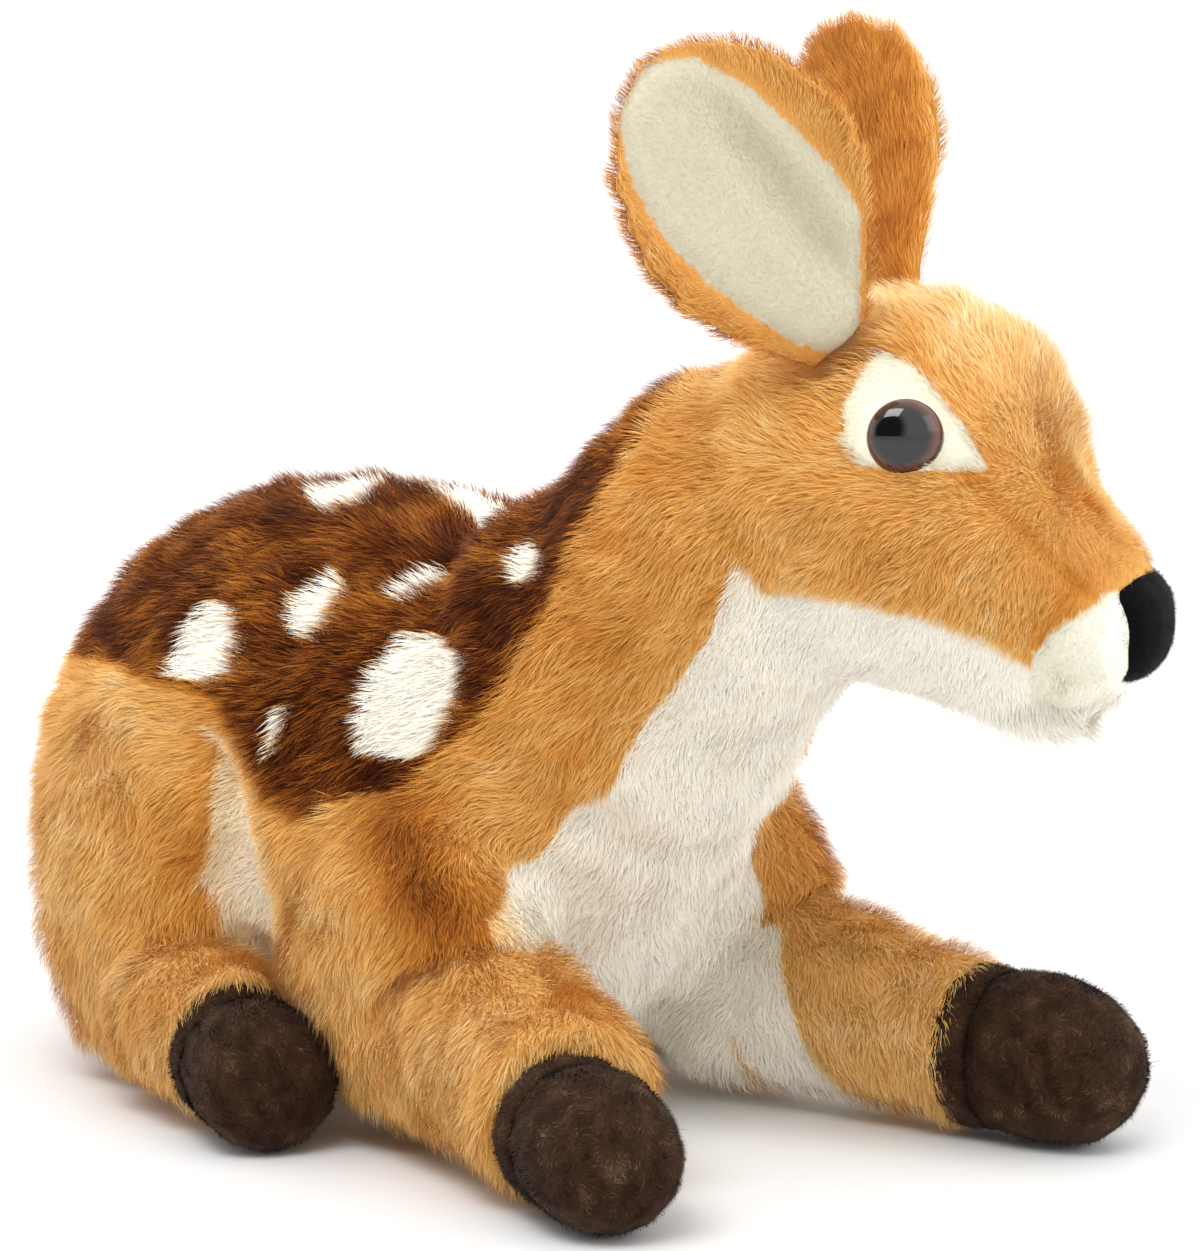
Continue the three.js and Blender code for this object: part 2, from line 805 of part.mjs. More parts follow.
addPiece('torso', torsoSkin, fawn, 'tan');
addPiece('torso_filling', torsoFill.subtract(torsoCuts), fawn, 'filling');
addPiece('saddle_panel', saddle.panel.subtract(torsoCuts), fawn, 'saddle');
addPiece('chest_panel', chest.panel.subtract(torsoCuts), fawn, 'white');
addPiece('belly_panel', overFloor(belly.panel).subtract(torsoCuts), fawn, 'white');

// Thighs and upper arms: lobes that lie against the torso

const torsoBed = toSolid(offset(torsoForm, seamGap));

function lobe(length, height, thickness, place) {
  const form = sideForm(lobeRowShares, length, height, thickness);
  form.translate(place.x, place.y, place.z);
  return overFloor(toSolid(form)).subtract(torsoBed).subtract(legSpace);
}

for (const [name, side] of Object.entries(sideSigns)) {
  const thighPlace = new THREE.Vector3(
    -thighBehind,
    (side * thighOutShare * torsoWidth) / 2,
    -restDepth,
  );
  const thigh = lobe(thighLength, thighHeight, thighThickness, thighPlace);
  addPiece(`thigh_${name}`, thigh, fawn, 'tan');

  const armPlace = new THREE.Vector3(
    foreLegs[name].armFront - armLength,
    (side * armOutShare * torsoWidth) / 2,
    armLowShare * armHeight,
  );
  const arm = lobe(armLength, armHeight, armThickness, armPlace);
  addPiece(`upper_arm_${name}`, arm, fawn, 'tan');
}

// Legs

/** The stretch of a solid between two stations along x. */
function slice(solid, from, to) {
  return solid.trimByPlane([1, 0, 0], from).trimByPlane([-1, 0, 0], -to);
}

/** The block that marks off the lining on the inner side of a foreleg. */
function liningBlock(kind, group, side, margin) {
  const [fromShare, toShare, insideShare] = foreLiningShares;
  const from = fromShare * kind.reach - margin;
  const to = toShare * kind.reach + margin;
  const depth = 2 * kind.radius;
  const outline = [[from, -depth], [to, -depth], [to, depth], [from, depth]];
  const start = insideShare * kind.radius - margin;
  const block = sideBlock(outline, depth).translate(0, -side * (depth / 2 + start), 0);
  return toWorld(block, group);
}

function addLeg(leg, upperName, hoofName, sideName, panelName) {
  const { kind, group, side } = leg;
  const form = legForm(kind);
  const whole = overFloor(toWorld(toSolid(form).add(ball(kind.ballRadius)), group));
  const local = toLocal(whole, group);
  const hoofStart = kind.reach - kind.hoofLength;
  const capStart = hoofStart + kind.cuffLength;
  const halfSeam = seamGap / 2;
  let upper = toWorld(slice(local, -kind.reach, hoofStart - halfSeam), group);
  if (panelName) {
    const block = liningBlock(kind, group, side, 0);
    const { panel, recess } = inlay(form, group, block, liningBlock(kind, group, side, seamGap));
    upper = upper.subtract(recess);
    addPiece(`${panelName}_${sideName}`, overFloor(panel), group, 'white');
  }
  addPiece(`${upperName}_${sideName}`, upper, group, 'tan');
  const cuff = slice(local, hoofStart + halfSeam, capStart - halfSeam);
  const cap = slice(local, capStart + halfSeam, 2 * kind.reach);
  addPiece(`${hoofName}_cuff_${sideName}`, toWorld(cuff, group), group, 'felt');
  addPiece(`${hoofName}_cap_${sideName}`, toWorld(cap, group), group, 'felt');
}

addLeg(legs.foreRight, 'forearm', 'fore_hoof', 'right', 'forearm_lining');
addLeg(legs.foreLeft, 'forearm', 'fore_hoof', 'left', 'forearm_lining');
addLeg(legs.hindRight, 'hind_shank', 'hind_hoof', 'right');
addLeg(legs.hindLeft, 'hind_shank', 'hind_hoof', 'left');

// Tail: a leaf with a white panel underneath

const tailLeaf = linedLeaf(tailForm, tailRowShares, tailLength, tailWidth, -1);
addPiece('tail_top', toWorld(tailLeaf.back, tailFrame), tailFrame, 'tan');
addPiece('tail_underside', toWorld(tailLeaf.lining, tailFrame), tailFrame, 'white');

// Neck and its panels

/** A block on the front or the back of the neck, wide below and narrow above. */
function neckBlock(front, lowHalf, highHalf, margin) {
  const low = -neckSeatHeight - margin;
  const high = neckLength + neckTopRadius * neckPanelTopShare + margin;
  const shape = new THREE.Shape([
    new THREE.Vector2(-lowHalf - margin, low),
    new THREE.Vector2(lowHalf + margin, low),
    new THREE.Vector2(highHalf + margin, high),
    new THREE.Vector2(-highHalf - margin, high),
  ]);
  const depth = neckBaseRadius + overrun;
  const geometry = new THREE.ExtrudeGeometry(shape, { depth, bevelEnabled: false });
  geometry.rotateX(Math.PI / 2);
  geometry.rotateZ(front ? Math.PI / 2 : -Math.PI / 2);
  return toWorld(toSolid(geometry), neckFrame);
}

const throatHalf = throatHalfShare * neckBaseRadius;
const napeLow = napeHalfShare * neckBaseRadius;
const napeHigh = napeTopShare * neckBaseRadius;
const throat = inlay(
  neckForm,
  neckFrame,
  neckBlock(true, throatHalf, throatHalf, 0),
  neckBlock(true, throatHalf, throatHalf, seamGap),
);
const nape = inlay(
  neckForm,
  neckFrame,
  neckBlock(false, napeLow, napeHigh, 0),
  neckBlock(false, napeLow, napeHigh, seamGap),
);
const neckSolid = toWorld(toSolid(neckForm), neckFrame);
addPiece('neck', neckSolid.subtract(throat.recess).subtract(nape.recess), neckFrame, 'tan');
addPiece('throat_panel', throat.panel, neckFrame, 'white');
addPiece('nape_panel', nape.panel, neckFrame, 'saddle');

// Head form, and what is let into it

const headForm = sideForm(
  headRowShares,
  headLength,
  headHeight,
  headWidth,
  trunkRings,
  trunkSides,
);
headForm.translate(-headBehind, 0, -headBelow);
const headCore = sideForm(headRowShares, headLength, headHeight, headWidth, coreRings, coreSides);
headCore.translate(-headBehind, 0, -headBelow);
const headSpan = 2 * headWidth;

/** A block in the head's frame; side 0 runs right across, else one side only. */
function headBlock(outline, side, inset = 0) {
  const depth = side === 0 ? headSpan : headSpan / 2;
  const block = sideBlock(outline, depth);
  const shift = side * (depth / 2 + inset);
  return toWorld(block.translate(-headBehind, shift, -headBelow), headFrame);
}

function headInlay(shares, side, inset) {
  const outline = (margin) => outlineOf(shares, headLength, headHeight, margin);
  const block = headBlock(outline(0), side, inset);
  const grown = headBlock(outline(seamGap), side, inset - seamGap);
  return inlay(headForm, headFrame, block, grown);
}

const jaw = headInlay(jawEdgeShares, 0, 0);
const muzzleInset = noseWidth * muzzleInsetShare;

// Nose: a padded oval on the tip of the muzzle

const nosePlace = new THREE.Vector3(
  noseAlongShare * headLength - headBehind,
  0,
  noseUpShare * headHeight - headBelow,
);
const noseForm = new THREE.SphereGeometry(noseLength / 2, trunkSides, trunkSides / 2);
noseForm.scale(1, noseWidth / noseLength, noseHeight / noseLength);
noseForm.translate(nosePlace.x, nosePlace.y, nosePlace.z);
const noseSolid = toWorld(toSolid(noseForm), headFrame);
const noseSeat = toWorld(toSolid(offset(noseForm, seamGap)), headFrame);

// Eyes

/** An eye about its own axis z, its dome outwards; grow widens it for its seat. */
function eyeProfile(grow) {
  const steps = 4;
  const dome = Array.from({ length: steps + 1 }, (_, i) => {
    const angle = (Math.PI / 2) * (i / steps);
    return [(eyeRadius + grow) * Math.cos(angle), (eyeDomeHeight + grow) * Math.sin(angle)];
  });
  dome[steps][0] = 0;
  return [
    [0, -shankLength - grow],
    [shankRadius + grow, -shankLength - grow],
    [shankRadius + grow, -eyeRim - grow],
    [eyeRadius + grow, -eyeRim - grow],
    ...dome,
  ];
}

/** A ring or, with no hole, a disc about z. */
function discProfile(hole, radius, low, high) {
  const corners = [[hole, low], [radius, low], [radius, high], [hole, high]];
  return hole > 0 ? [...corners, corners[0]] : corners;
}

function eyeOf(side) {
  const target = new THREE.Vector3(
    eyeAlongShare * headLength - headBehind,
    0,
    eyeUpShare * headHeight - headBelow,
  );
  const outward = across.clone().multiplyScalar(side);
  const surface = surfacePoint(headForm, target, outward);
  surface.addScaledVector(outward, -eyeSink);
  const place = frame(headFrame, surface, [
    [upward, -side * eyeForward],
    [along, -side * rightAngle],
  ]);
  const button = toWorld(toSolid(turned(eyeProfile(0), eyeSides)), place);
  const seat = toWorld(toSolid(turned(eyeProfile(seamGap), eyeSides)), place);
  const washerHigh = -wallThickness - washerSink;
  const washerLow = washerHigh - washerThickness;
  const ring = discProfile(shankRadius + seamGap, washerRadius, washerLow, washerHigh);
  const roomLow = -shankLength - seamGap;
  const room = discProfile(0, washerRadius + seamGap, roomLow, washerHigh + seamGap);
  const washer = toWorld(toSolid(turned(ring, eyeSides)), place);
  const washerRoom = toWorld(toSolid(turned(room, eyeSides)), place);
  const shares = eyePatchShares.map(([x, z]) => {
    return [
      eyeAlongShare + (x * eyeRadius) / headLength,
      eyeUpShare + (z * eyeRadius) / headHeight,
    ];
  });
  const patch = headInlay(shares, side, 0);
  return { button, seat, washer, washerRoom, patch };
}

// Ears

const earForm = leafForm(earRowShares, earLength, earWidth, earThickness, earCup);

function earOf(side) {
  const target = new THREE.Vector3(
    earAlongShare * headLength - headBehind,
    (side * earOutShare * headWidth) / 2,
    0,
  );
  const root = surfacePoint(headForm, target, upward).addScaledVector(upward, -earSink);
  const place = frame(headFrame, root, [
    [upward, side * earFacing],
    [along, -side * earTilt],
    [across, earPitch],
  ]);
  const { lining, back } = linedLeaf(earForm, earRowShares, earLength, earWidth, 1);
  const room = leafRoom(
    earRowShares,
    earLength,
    earWidth,
    earThickness,
    earCup,
    earFold,
    leafRootShare,
  );
  return { place, lining, back, space: toWorld(room, place) };
}

const eyes = { right: eyeOf(-1), left: eyeOf(1) };
const ears = { right: earOf(-1), left: earOf(1) };
const muzzles = {
  right: headInlay(muzzleEdgeShares, -1, muzzleInset),
  left: headInlay(muzzleEdgeShares, 1, muzzleInset),
};

const headCuts = neckSpace.add(ears.right.space).add(ears.left.space).add(noseSeat);
let headSkin = toWorld(toSolid(headForm), headFrame)
  .subtract(toWorld(toSolid(offset(headCore, -wallThickness)), headFrame))
  .subtract(headCuts)
  .subtract(jaw.recess);
let headFill = toWorld(toSolid(offset(headCore, -wallThickness - seamGap)), headFrame)
  .subtract(headCuts);
for (const name of Object.keys(sideSigns)) {
  const { button, seat, washer, washerRoom, patch } = eyes[name];
  const { place, back, lining } = ears[name];
  const muzzle = muzzles[name];
  headSkin = headSkin
    .subtract(patch.recess)
    .subtract(muzzle.recess)
    .subtract(seat)
    .subtract(washerRoom);
  headFill = headFill.subtract(seat).subtract(washerRoom);
  addPiece(`eye_${name}`, button, headFrame, 'eye');
  addPiece(`eye_washer_${name}`, washer, headFrame, 'washer');
  const eyePatch = patch.panel.subtract(seat).subtract(headCuts);
  addPiece(`eye_patch_${name}`, eyePatch, headFrame, 'velour');
  addPiece(`muzzle_patch_${name}`, muzzle.panel.subtract(noseSeat), headFrame, 'velour');
  addPiece(`ear_back_${name}`, toWorld(back, place), place, 'tan');
  addPiece(`ear_lining_${name}`, toWorld(lining, place), place, 'velour');
}
addPiece('head', headSkin, headFrame, 'tan');
addPiece('head_filling', headFill, headFrame, 'filling');
addPiece('jaw_panel', jaw.panel.subtract(headCuts), headFrame, 'white');
addPiece('nose', noseSolid, headFrame, 'nose');

export default fawn;
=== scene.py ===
import json
import math

import bmesh
import bpy
import numpy as np
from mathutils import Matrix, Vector
from mathutils.bvhtree import BVHTree
from mathutils.kdtree import KDTree


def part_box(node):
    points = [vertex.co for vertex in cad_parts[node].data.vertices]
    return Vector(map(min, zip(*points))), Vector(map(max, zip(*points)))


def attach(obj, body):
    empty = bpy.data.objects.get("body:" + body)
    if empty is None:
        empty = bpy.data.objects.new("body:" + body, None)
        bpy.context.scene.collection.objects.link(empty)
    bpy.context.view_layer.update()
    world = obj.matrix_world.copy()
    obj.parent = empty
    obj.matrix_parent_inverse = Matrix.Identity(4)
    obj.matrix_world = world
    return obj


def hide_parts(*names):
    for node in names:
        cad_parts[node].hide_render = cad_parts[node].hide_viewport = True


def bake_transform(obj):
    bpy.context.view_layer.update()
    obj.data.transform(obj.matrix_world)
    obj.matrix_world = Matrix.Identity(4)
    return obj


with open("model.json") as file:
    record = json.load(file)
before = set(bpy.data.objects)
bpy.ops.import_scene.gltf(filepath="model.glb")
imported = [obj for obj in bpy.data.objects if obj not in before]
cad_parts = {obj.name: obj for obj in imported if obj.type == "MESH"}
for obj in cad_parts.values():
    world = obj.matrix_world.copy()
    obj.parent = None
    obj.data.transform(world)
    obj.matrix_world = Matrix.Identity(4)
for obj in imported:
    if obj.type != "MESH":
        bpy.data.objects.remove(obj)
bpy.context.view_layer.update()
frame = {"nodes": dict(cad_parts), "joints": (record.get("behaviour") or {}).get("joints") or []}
scene = bpy.context.scene
metre = 1000.0  # in millimetres, which every setting below is in
sides = {"right": -1, "left": 1}


# Meshes

def unit(vectors):
    return vectors / np.maximum(np.linalg.norm(vectors, axis=-1, keepdims=True), 1e-9)


def dots(a, b):
    return (a * b).sum(-1, keepdims=True)


# Climbs from 0 at the start to 1 at the start plus over, which may be negative
def climb(values, start, over):
    return np.clip((values - start) / over, 0, 1)


def fetched(items, key, width, kind):
    values = np.empty(len(items) * width, kind)
    items.foreach_get(key, values)
    return values.reshape(-1, width)


def nodeArrays(names):
    points, faces, owners, first = [], [], [], 0
    for owner, name in enumerate(names):
        mesh = frame["nodes"][name].data
        mesh.calc_loop_triangles()
        points.append(fetched(mesh.vertices, "co", 3, np.float32) * metre)
        tris = fetched(mesh.loop_triangles, "vertices", 3, np.int32)
        faces.append(tris + first)
        owners += [owner] * len(tris)
        first += len(mesh.vertices)
    return np.concatenate(points).astype(float), np.concatenate(faces), np.array(owners)


def placed(name, data):
    piece = bpy.data.objects.new(name, data)
    scene.collection.objects.link(piece)
    return piece


def meshObject(name, points, corners, sizes):
    mesh = bpy.data.meshes.new(name)
    mesh.vertices.add(len(points))
    mesh.vertices.foreach_set("co", (points / metre).astype(np.float32).ravel())
    mesh.loops.add(len(corners))
    mesh.loops.foreach_set("vertex_index", corners.astype(np.int32))
    mesh.polygons.add(len(sizes))
    starts = np.concatenate([[0], np.cumsum(sizes)[:-1]]).astype(np.int32)
    mesh.polygons.foreach_set("loop_start", starts)
    mesh.update(calc_edges=True)
    mesh.polygons.foreach_set("use_smooth", np.ones(len(sizes), bool))
    return placed(name, mesh)


def store(piece, key, values):
    layer = piece.data.attributes.new(key, "FLOAT", "POINT")
    layer.data.foreach_set("value", values.astype(np.float32))


def remeshed(points, faces, voxel):
    rough = meshObject("rough", points, faces.ravel(), np.full(len(faces), 3))
    change = rough.modifiers.new("even", "REMESH")
    change.mode = "VOXEL"
    change.voxel_size = voxel / metre
    bpy.context.view_layer.update()
    graph = bpy.context.evaluated_depsgraph_get()
    mesh = bpy.data.meshes.new_from_object(rough.evaluated_get(graph))
    bpy.data.objects.remove(rough)
    points = fetched(mesh.vertices, "co", 3, np.float32).astype(float) * metre
    return points, fetched(mesh.loops, "vertex_index", 1, np.int32).reshape(-1, 4)


def splitQuads(quads):
    return np.concatenate([quads[:, [0, 1, 2]], quads[:, [0, 2, 3]]])


def edgesOf(quads):
    pairs = np.concatenate([quads[:, [k, (k + 1) % 4]] for k in range(4)])
    return np.unique(np.sort(pairs, axis=1), axis=0)


def averaged(values, edges):
    count = len(values)
    flat = values.reshape(count, -1)
    a, b = edges[:, 0], edges[:, 1]
    degree = np.bincount(a, minlength=count) + np.bincount(b, minlength=count)
    result = np.empty_like(flat)
    for k in range(flat.shape[1]):
        total = np.bincount(a, flat[b, k], count) + np.bincount(b, flat[a, k], count)
        result[:, k] = total / np.maximum(degree, 1)
    return result.reshape(values.shape)


def smoothed(values, edges, rounds):
    for _ in range(rounds):
        values = values + 0.5 * (averaged(values, edges) - values)
    return values


def normalsOf(points, tris):
    a, b, c = (points[tris[:, k]] for k in range(3))
    across = np.cross(b - a, c - a)
    result = np.zeros_like(points)
    for k in range(3):
        for axis in range(3):
            result[:, axis] += np.bincount(tris[:, k], across[:, axis], len(points))
    return unit(result)


# Slow random swell over a surface
def waves(points, length, seed):
    count = 9
    rng = np.random.default_rng(seed)
    heading = unit(rng.normal(size=(count, 3)))
    heading *= 2 * math.pi / (length * rng.uniform(0.7, 1.5, (count, 1)))
    phase = rng.uniform(0, 2 * math.pi, count)
    return np.sin(points @ heading.T + phase).sum(1) / math.sqrt(count / 2)


def ballArrays(place, radius):
    shape = bmesh.new()
    bmesh.ops.create_icosphere(shape, subdivisions=3, radius=radius)
    points = np.array([v.co for v in shape.verts]) + place
    faces = np.array([[v.index for v in f.verts] for f in shape.faces])
    shape.free()
    return points, faces


def segmentGap(points, p, q):
    share = np.clip(((points - p) @ (q - p)) / max((q - p) @ (q - p), 1e-9), 0, 1)
    return np.linalg.norm(points - p - share[:, None] * (q - p), axis=1)


def distanceToLine(points, line):
    line = np.array(line, float)
    return np.minimum.reduce([segmentGap(points, p, q) for p, q in zip(line[:-1], line[1:])])


outside = -1e3  # depth of what a zone leaves out


# How far inside an outline each point is, seen along the outline's own normal
def insideOutline(points, outline, reach):
    outline = np.array(outline, float)
    middle = outline.mean(0)
    basis = np.linalg.svd(outline - middle)[2]
    place = (points - middle) @ basis.T
    flat, x, y = place[:, :2], place[:, 0], place[:, 1]
    ring = (outline - middle) @ basis.T[:, :2]
    inside = np.zeros(len(points), bool)
    nearest = np.full(len(points), 1e9)
    for p, q in zip(ring, np.roll(ring, -1, axis=0)):
        crosses = (p[1] > y) != (q[1] > y)
        slope = (q[0] - p[0]) / (q[1] - p[1] if q[1] != p[1] else 1e-9)
        inside ^= crosses & (x < p[0] + (y - p[1]) * slope)
        nearest = np.minimum(nearest, segmentGap(flat, p, q))
    distance = np.where(inside, nearest, -nearest)
    return np.where(np.abs(place[:, 2]) < reach, distance, outside)


# Skins: the sewn cloth under the pile

headPlace = {"origin": (126.75, 0, 125.34), "turn": 25}
turn = math.radians(headPlace["turn"])
headAxes = np.array(
    [(math.cos(turn), math.sin(turn), 0), (-math.sin(turn), math.cos(turn), 0), (0, 0, 1)]
)


def headFrom(points):
    return (points - headPlace["origin"]) @ headAxes.T


def centreOf(node):
    low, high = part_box(node)
    return (np.array(low) + np.array(high)) * metre / 2


def jointOf(body):
    return [joint for joint in frame["joints"] if joint["child"] == body][0]


def pivotOf(body):
    return np.array(jointOf(body)["pos_m"]) * metre


kinds = ["tan", "brown", "white", "velour", "felt", "black"]

# Length of the pile and the way it lies, where no code further on sets them
fabrics = {
    "torso": (6.6, (-1, 0, -0.6)),
    "torso_filling": (6.6, (-1, 0, -0.6)),
    "saddle_panel": (7, (-1, 0, -0.5)),
    "chest_panel": (5.6, (-0.4, 0, -1)),
    "belly_panel": (5, (-0.4, 0, -1)),
    "thigh": (6.6, (0.1, 0, -1)),
    "upper_arm": (6.2, (0.25, 0, -1)),
    "neck": (6.4, (-0.75, 0, -0.7)),
    "throat_panel": (5.6, (-0.5, 0, -1)),
    "nape_panel": (7, (-0.8, 0, -0.8)),
    "nose": (1.2, (-1, 0, 0)),
    "forearm": (5.6, (1, 0, 0)),
    "forearm_lining": (5.6, (1, 0, 0)),
    "hind_shank": (5.6, (1, 0, 0)),
    "ear_back": (4.4, (0, 0, 1)),
    "ear_lining": (3.6, (0, 0, 1)),
    "tail_top": (6.4, (-1, 0, -1)),
    "tail_underside": (5.4, (-1, 0, -1)),
}
felt = (1.7, (0, 0, 1))
tones = {"tan": 0.58, "brown": 0.125, "white": 0.95, "velour": 0.7, "felt": 0.4, "black": 0.1}
skinLook = {
    "ripple": 0.35,
    "rippleLengths": (17, 8),
    "smallRipple": 0.6,
    "fullPile": 7,  # that ripples most
    "edgeFade": 4,  # of a zone's own edge tone
    "facing": 0.25,
    "seamWidth": 2.2,
    "seamPile": 0.35,
    "seamDepth": 0.9,
    "least": 0.2,  # of the way from the solid's surface down to the skin
    "floor": 0.3,
}
mend = {"over": 6, "gain": 6, "spread": 5, "full": 4, "rounds": 24}
calm = {"lost": 4, "pile": 3, "inset": 4, "sink": 6, "normals": 2, "comb": 14, "turn": 40}


def fabricOf(node):
    name = node
    for side in sides:
        name = name.removesuffix(f"_{side}")
    return fabrics.get(name, felt)


# Evens out what still has steps, and leaves the rest
def mended(smooth, edges, tris):
    normals = normalsOf(smooth, tris)
    broken = 1 - dots(normals, unit(smoothed(normals, edges, mend["over"])))
    broken = smoothed(np.clip(broken * mend["gain"] - 1, 0, 1), edges, mend["spread"])
    broken = np.clip(broken * mend["full"], 0, 1)
    for _ in range(mend["rounds"]):
        smooth = smooth + 0.5 * broken * (averaged(smooth, edges) - smooth)
    return smooth


def makeSkin(nodes, voxel, rounds, rise=0.3, kind="tan", balls=(), stretch=None, mends=0):
    rough, faces, owners = nodeArrays(nodes)
    if stretch is not None:
        pivot, way, factor = stretch
        rough = rough + dots(rough - pivot, way) * way * (factor - 1)
    tree = BVHTree.FromPolygons(rough.tolist(), faces.tolist())
    for place, radius in balls:
        more, corners = ballArrays(place, radius)
        faces = np.concatenate([faces, corners + len(rough)])
        rough = np.concatenate([rough, more])
    points, quads = remeshed(rough, faces, voxel)
    owner = owners[[tree.find_nearest(Vector(p))[2] for p in points]]
    edges, tris = edgesOf(quads), splitQuads(quads)
    smooth = smoothed(points, edges, rounds)
    for _ in range(mends):
        smooth = mended(smooth, edges, tris)
    normals = normalsOf(smooth, tris)
    piles, combs = zip(*map(fabricOf, nodes))
    return dict(
        nodes=nodes, owner=owner, edges=edges, tris=tris, quads=quads, smooth=smooth,
        normals=normals,
        rise=rise,  # how deep in its pile the skin lies
        lost=smoothed(dots(points - smooth, normals), edges, calm["lost"]),
        pile=np.array(piles, float)[owner],
        comb=np.array(combs, float)[owner],
        kind=np.full(len(points), kinds.index(kind)),
        tone=np.full(len(points), tones[kind]),
        seam=np.zeros(len(points)),
        sink=np.zeros(len(points)),
        zones=[],
    )


def refaced(skin):
    skin["normals"] = normalsOf(skin["smooth"], skin["tris"])


def owned(skin, *prefixes):
    wanted = [i for i, node in enumerate(skin["nodes"]) if node.startswith(prefixes)]
    return np.isin(skin["owner"], wanted)


# A zone sets the fabric inside an outline, or sinks and shades a crease along a line
def patch(kind, *outline, **more):
    return dict(more, kind=kind, outline=outline)


def crease(shade, width, *line, **more):
    return dict({"pinch": 0}, shade=shade, width=width, line=line, **more)


def zoneShare(zone, points, within):
    place = headFrom(points) if zone.get("head") else points
    if "axes" in zone:
        place = (points - zone["origin"]) @ zone["axes"].T
    if "line" in zone:
        depth = np.where(within, -distanceToLine(place, zone["line"]), outside)
        return depth, np.exp(-((depth / zone["width"]) ** 2))
    depth = insideOutline(place, zone["outline"], zone.get("reach", 300))
    depth = np.where(within, depth, outside)
    return depth, np.clip(depth / zone.get("soft", 0.8) + 0.5, 0, 1)


def colourBy(zone, depth, share, kind, tone):
    if "line" in zone:
        return kind, tone + zone["shade"] * share
    wanted = zone.get("tone", tones[zone["kind"]])
    edge = np.exp(-np.maximum(depth, 0) / skinLook["edgeFade"])
    wanted = wanted + zone.get("edgeTone", 0) * edge
    kind = np.where(share > 0.5, kinds.index(zone["kind"]), kind)
    return kind, tone + (wanted - tone) * share


def addZone(skin, zone):
    within = owned(skin, *zone["nodes"]) if "nodes" in zone else skin["owner"] >= 0
    if "facing" in zone:
        turned = dots(skin["normals"], zone["facing"])[:, 0]
        within = within & (turned > skinLook["facing"])
    depth, share = zoneShare(zone, skin["smooth"], within)
    skin["kind"], skin["tone"] = colourBy(zone, depth, share, skin["kind"], skin["tone"])
    if "pile" in zone:
        skin["pile"] = skin["pile"] + (zone["pile"] - skin["pile"]) * share
    if "sink" in zone:
        skin["sink"] = skin["sink"] + zone["sink"] * share
    if "comb" in zone:
        comb = np.array(zone["comb"], float)
        comb = comb @ headAxes if zone.get("head") else comb
        skin["comb"] = skin["comb"] + (comb - skin["comb"]) * share[:, None]
    if "line" in zone:
        skin["seam"] = np.maximum(skin["seam"], zone["pinch"] * share)
    elif zone.get("seam"):
        seam = np.exp(-((depth / skinLook["seamWidth"]) ** 2))
        skin["seam"] = np.maximum(skin["seam"], seam)
    skin["zones"].append((zone, within))


def mirrored(zone):
    key = "line" if "line" in zone else "outline"
    return [zone, dict(zone, **{key: np.array(zone[key], float) * (1, -1, 1)})]


def settleSkin(skin, ripple=skinLook["ripple"]):
    edges, seam = skin["edges"], skin["seam"]
    skin["pile"] = smoothed(skin["pile"] * (1 - skinLook["seamPile"] * seam), edges, calm["pile"])
    inset = skin["pile"][:, None] * skin["rise"] - np.maximum(skin["lost"], 0)
    inset = smoothed(np.maximum(inset, skinLook["least"]), edges, calm["inset"])
    inset = inset + skinLook["seamDepth"] * seam[:, None]
    inset = inset + smoothed(skin["sink"], edges, calm["sink"])[:, None]
    large, small = skinLook["rippleLengths"]
    wave = waves(skin["smooth"], large, 1)
    wave += skinLook["smallRipple"] * waves(skin["smooth"], small, 2)
    share = np.clip(skin["pile"] / skinLook["fullPile"], 0, 1)
    inset = inset + ripple * (wave * share)[:, None]
    skin["points"] = skin["smooth"] - skin["normals"] * inset
    skin["points"][:, 2] = np.maximum(skin["points"][:, 2], skinLook["floor"])
    normals = unit(smoothed(normalsOf(skin["points"], skin["tris"]), edges, calm["normals"]))
    comb = unit(smoothed(skin["comb"], edges, calm["comb"]))
    for _ in range(calm["turn"]):
        comb = comb - dots(comb, normals) * normals
        comb = unit(smoothed(comb, edges, 1))
    skin["normals"] = normals
    skin["comb"] = unit(comb - dots(comb, normals) * normals)


def skinObject(name, skin, material):
    quads = skin["quads"]
    piece = meshObject(name, skin["points"], quads.ravel(), np.full(len(quads), 4))
    store(piece, "tone", skin["tone"])
    store(piece, "pile", skin["pile"])
    store(piece, "velour", skin["kind"] == kinds.index("velour"))
    piece.data.materials.append(material)
    return piece


def cutPiece(piece, name, origin, normal, keepBelow):
    copy = placed(name, piece.data.copy())
    shape = bmesh.new()
    shape.from_mesh(copy.data)
    cut = bmesh.ops.bisect_plane(
        shape,
        geom=shape.verts[:] + shape.edges[:] + shape.faces[:],
        plane_co=Vector(origin) / metre,
        plane_no=Vector(normal),
        clear_outer=keepBelow,
        clear_inner=not keepBelow,
    )
    rim = [e for e in cut["geom_cut"] if isinstance(e, bmesh.types.BMEdge)]
    bmesh.ops.contextual_create(shape, geom=rim)
    shape.to_mesh(copy.data)
    shape.free()
    return copy


# Strands of pile: thin ribbons that rise from the skin, bend over and taper

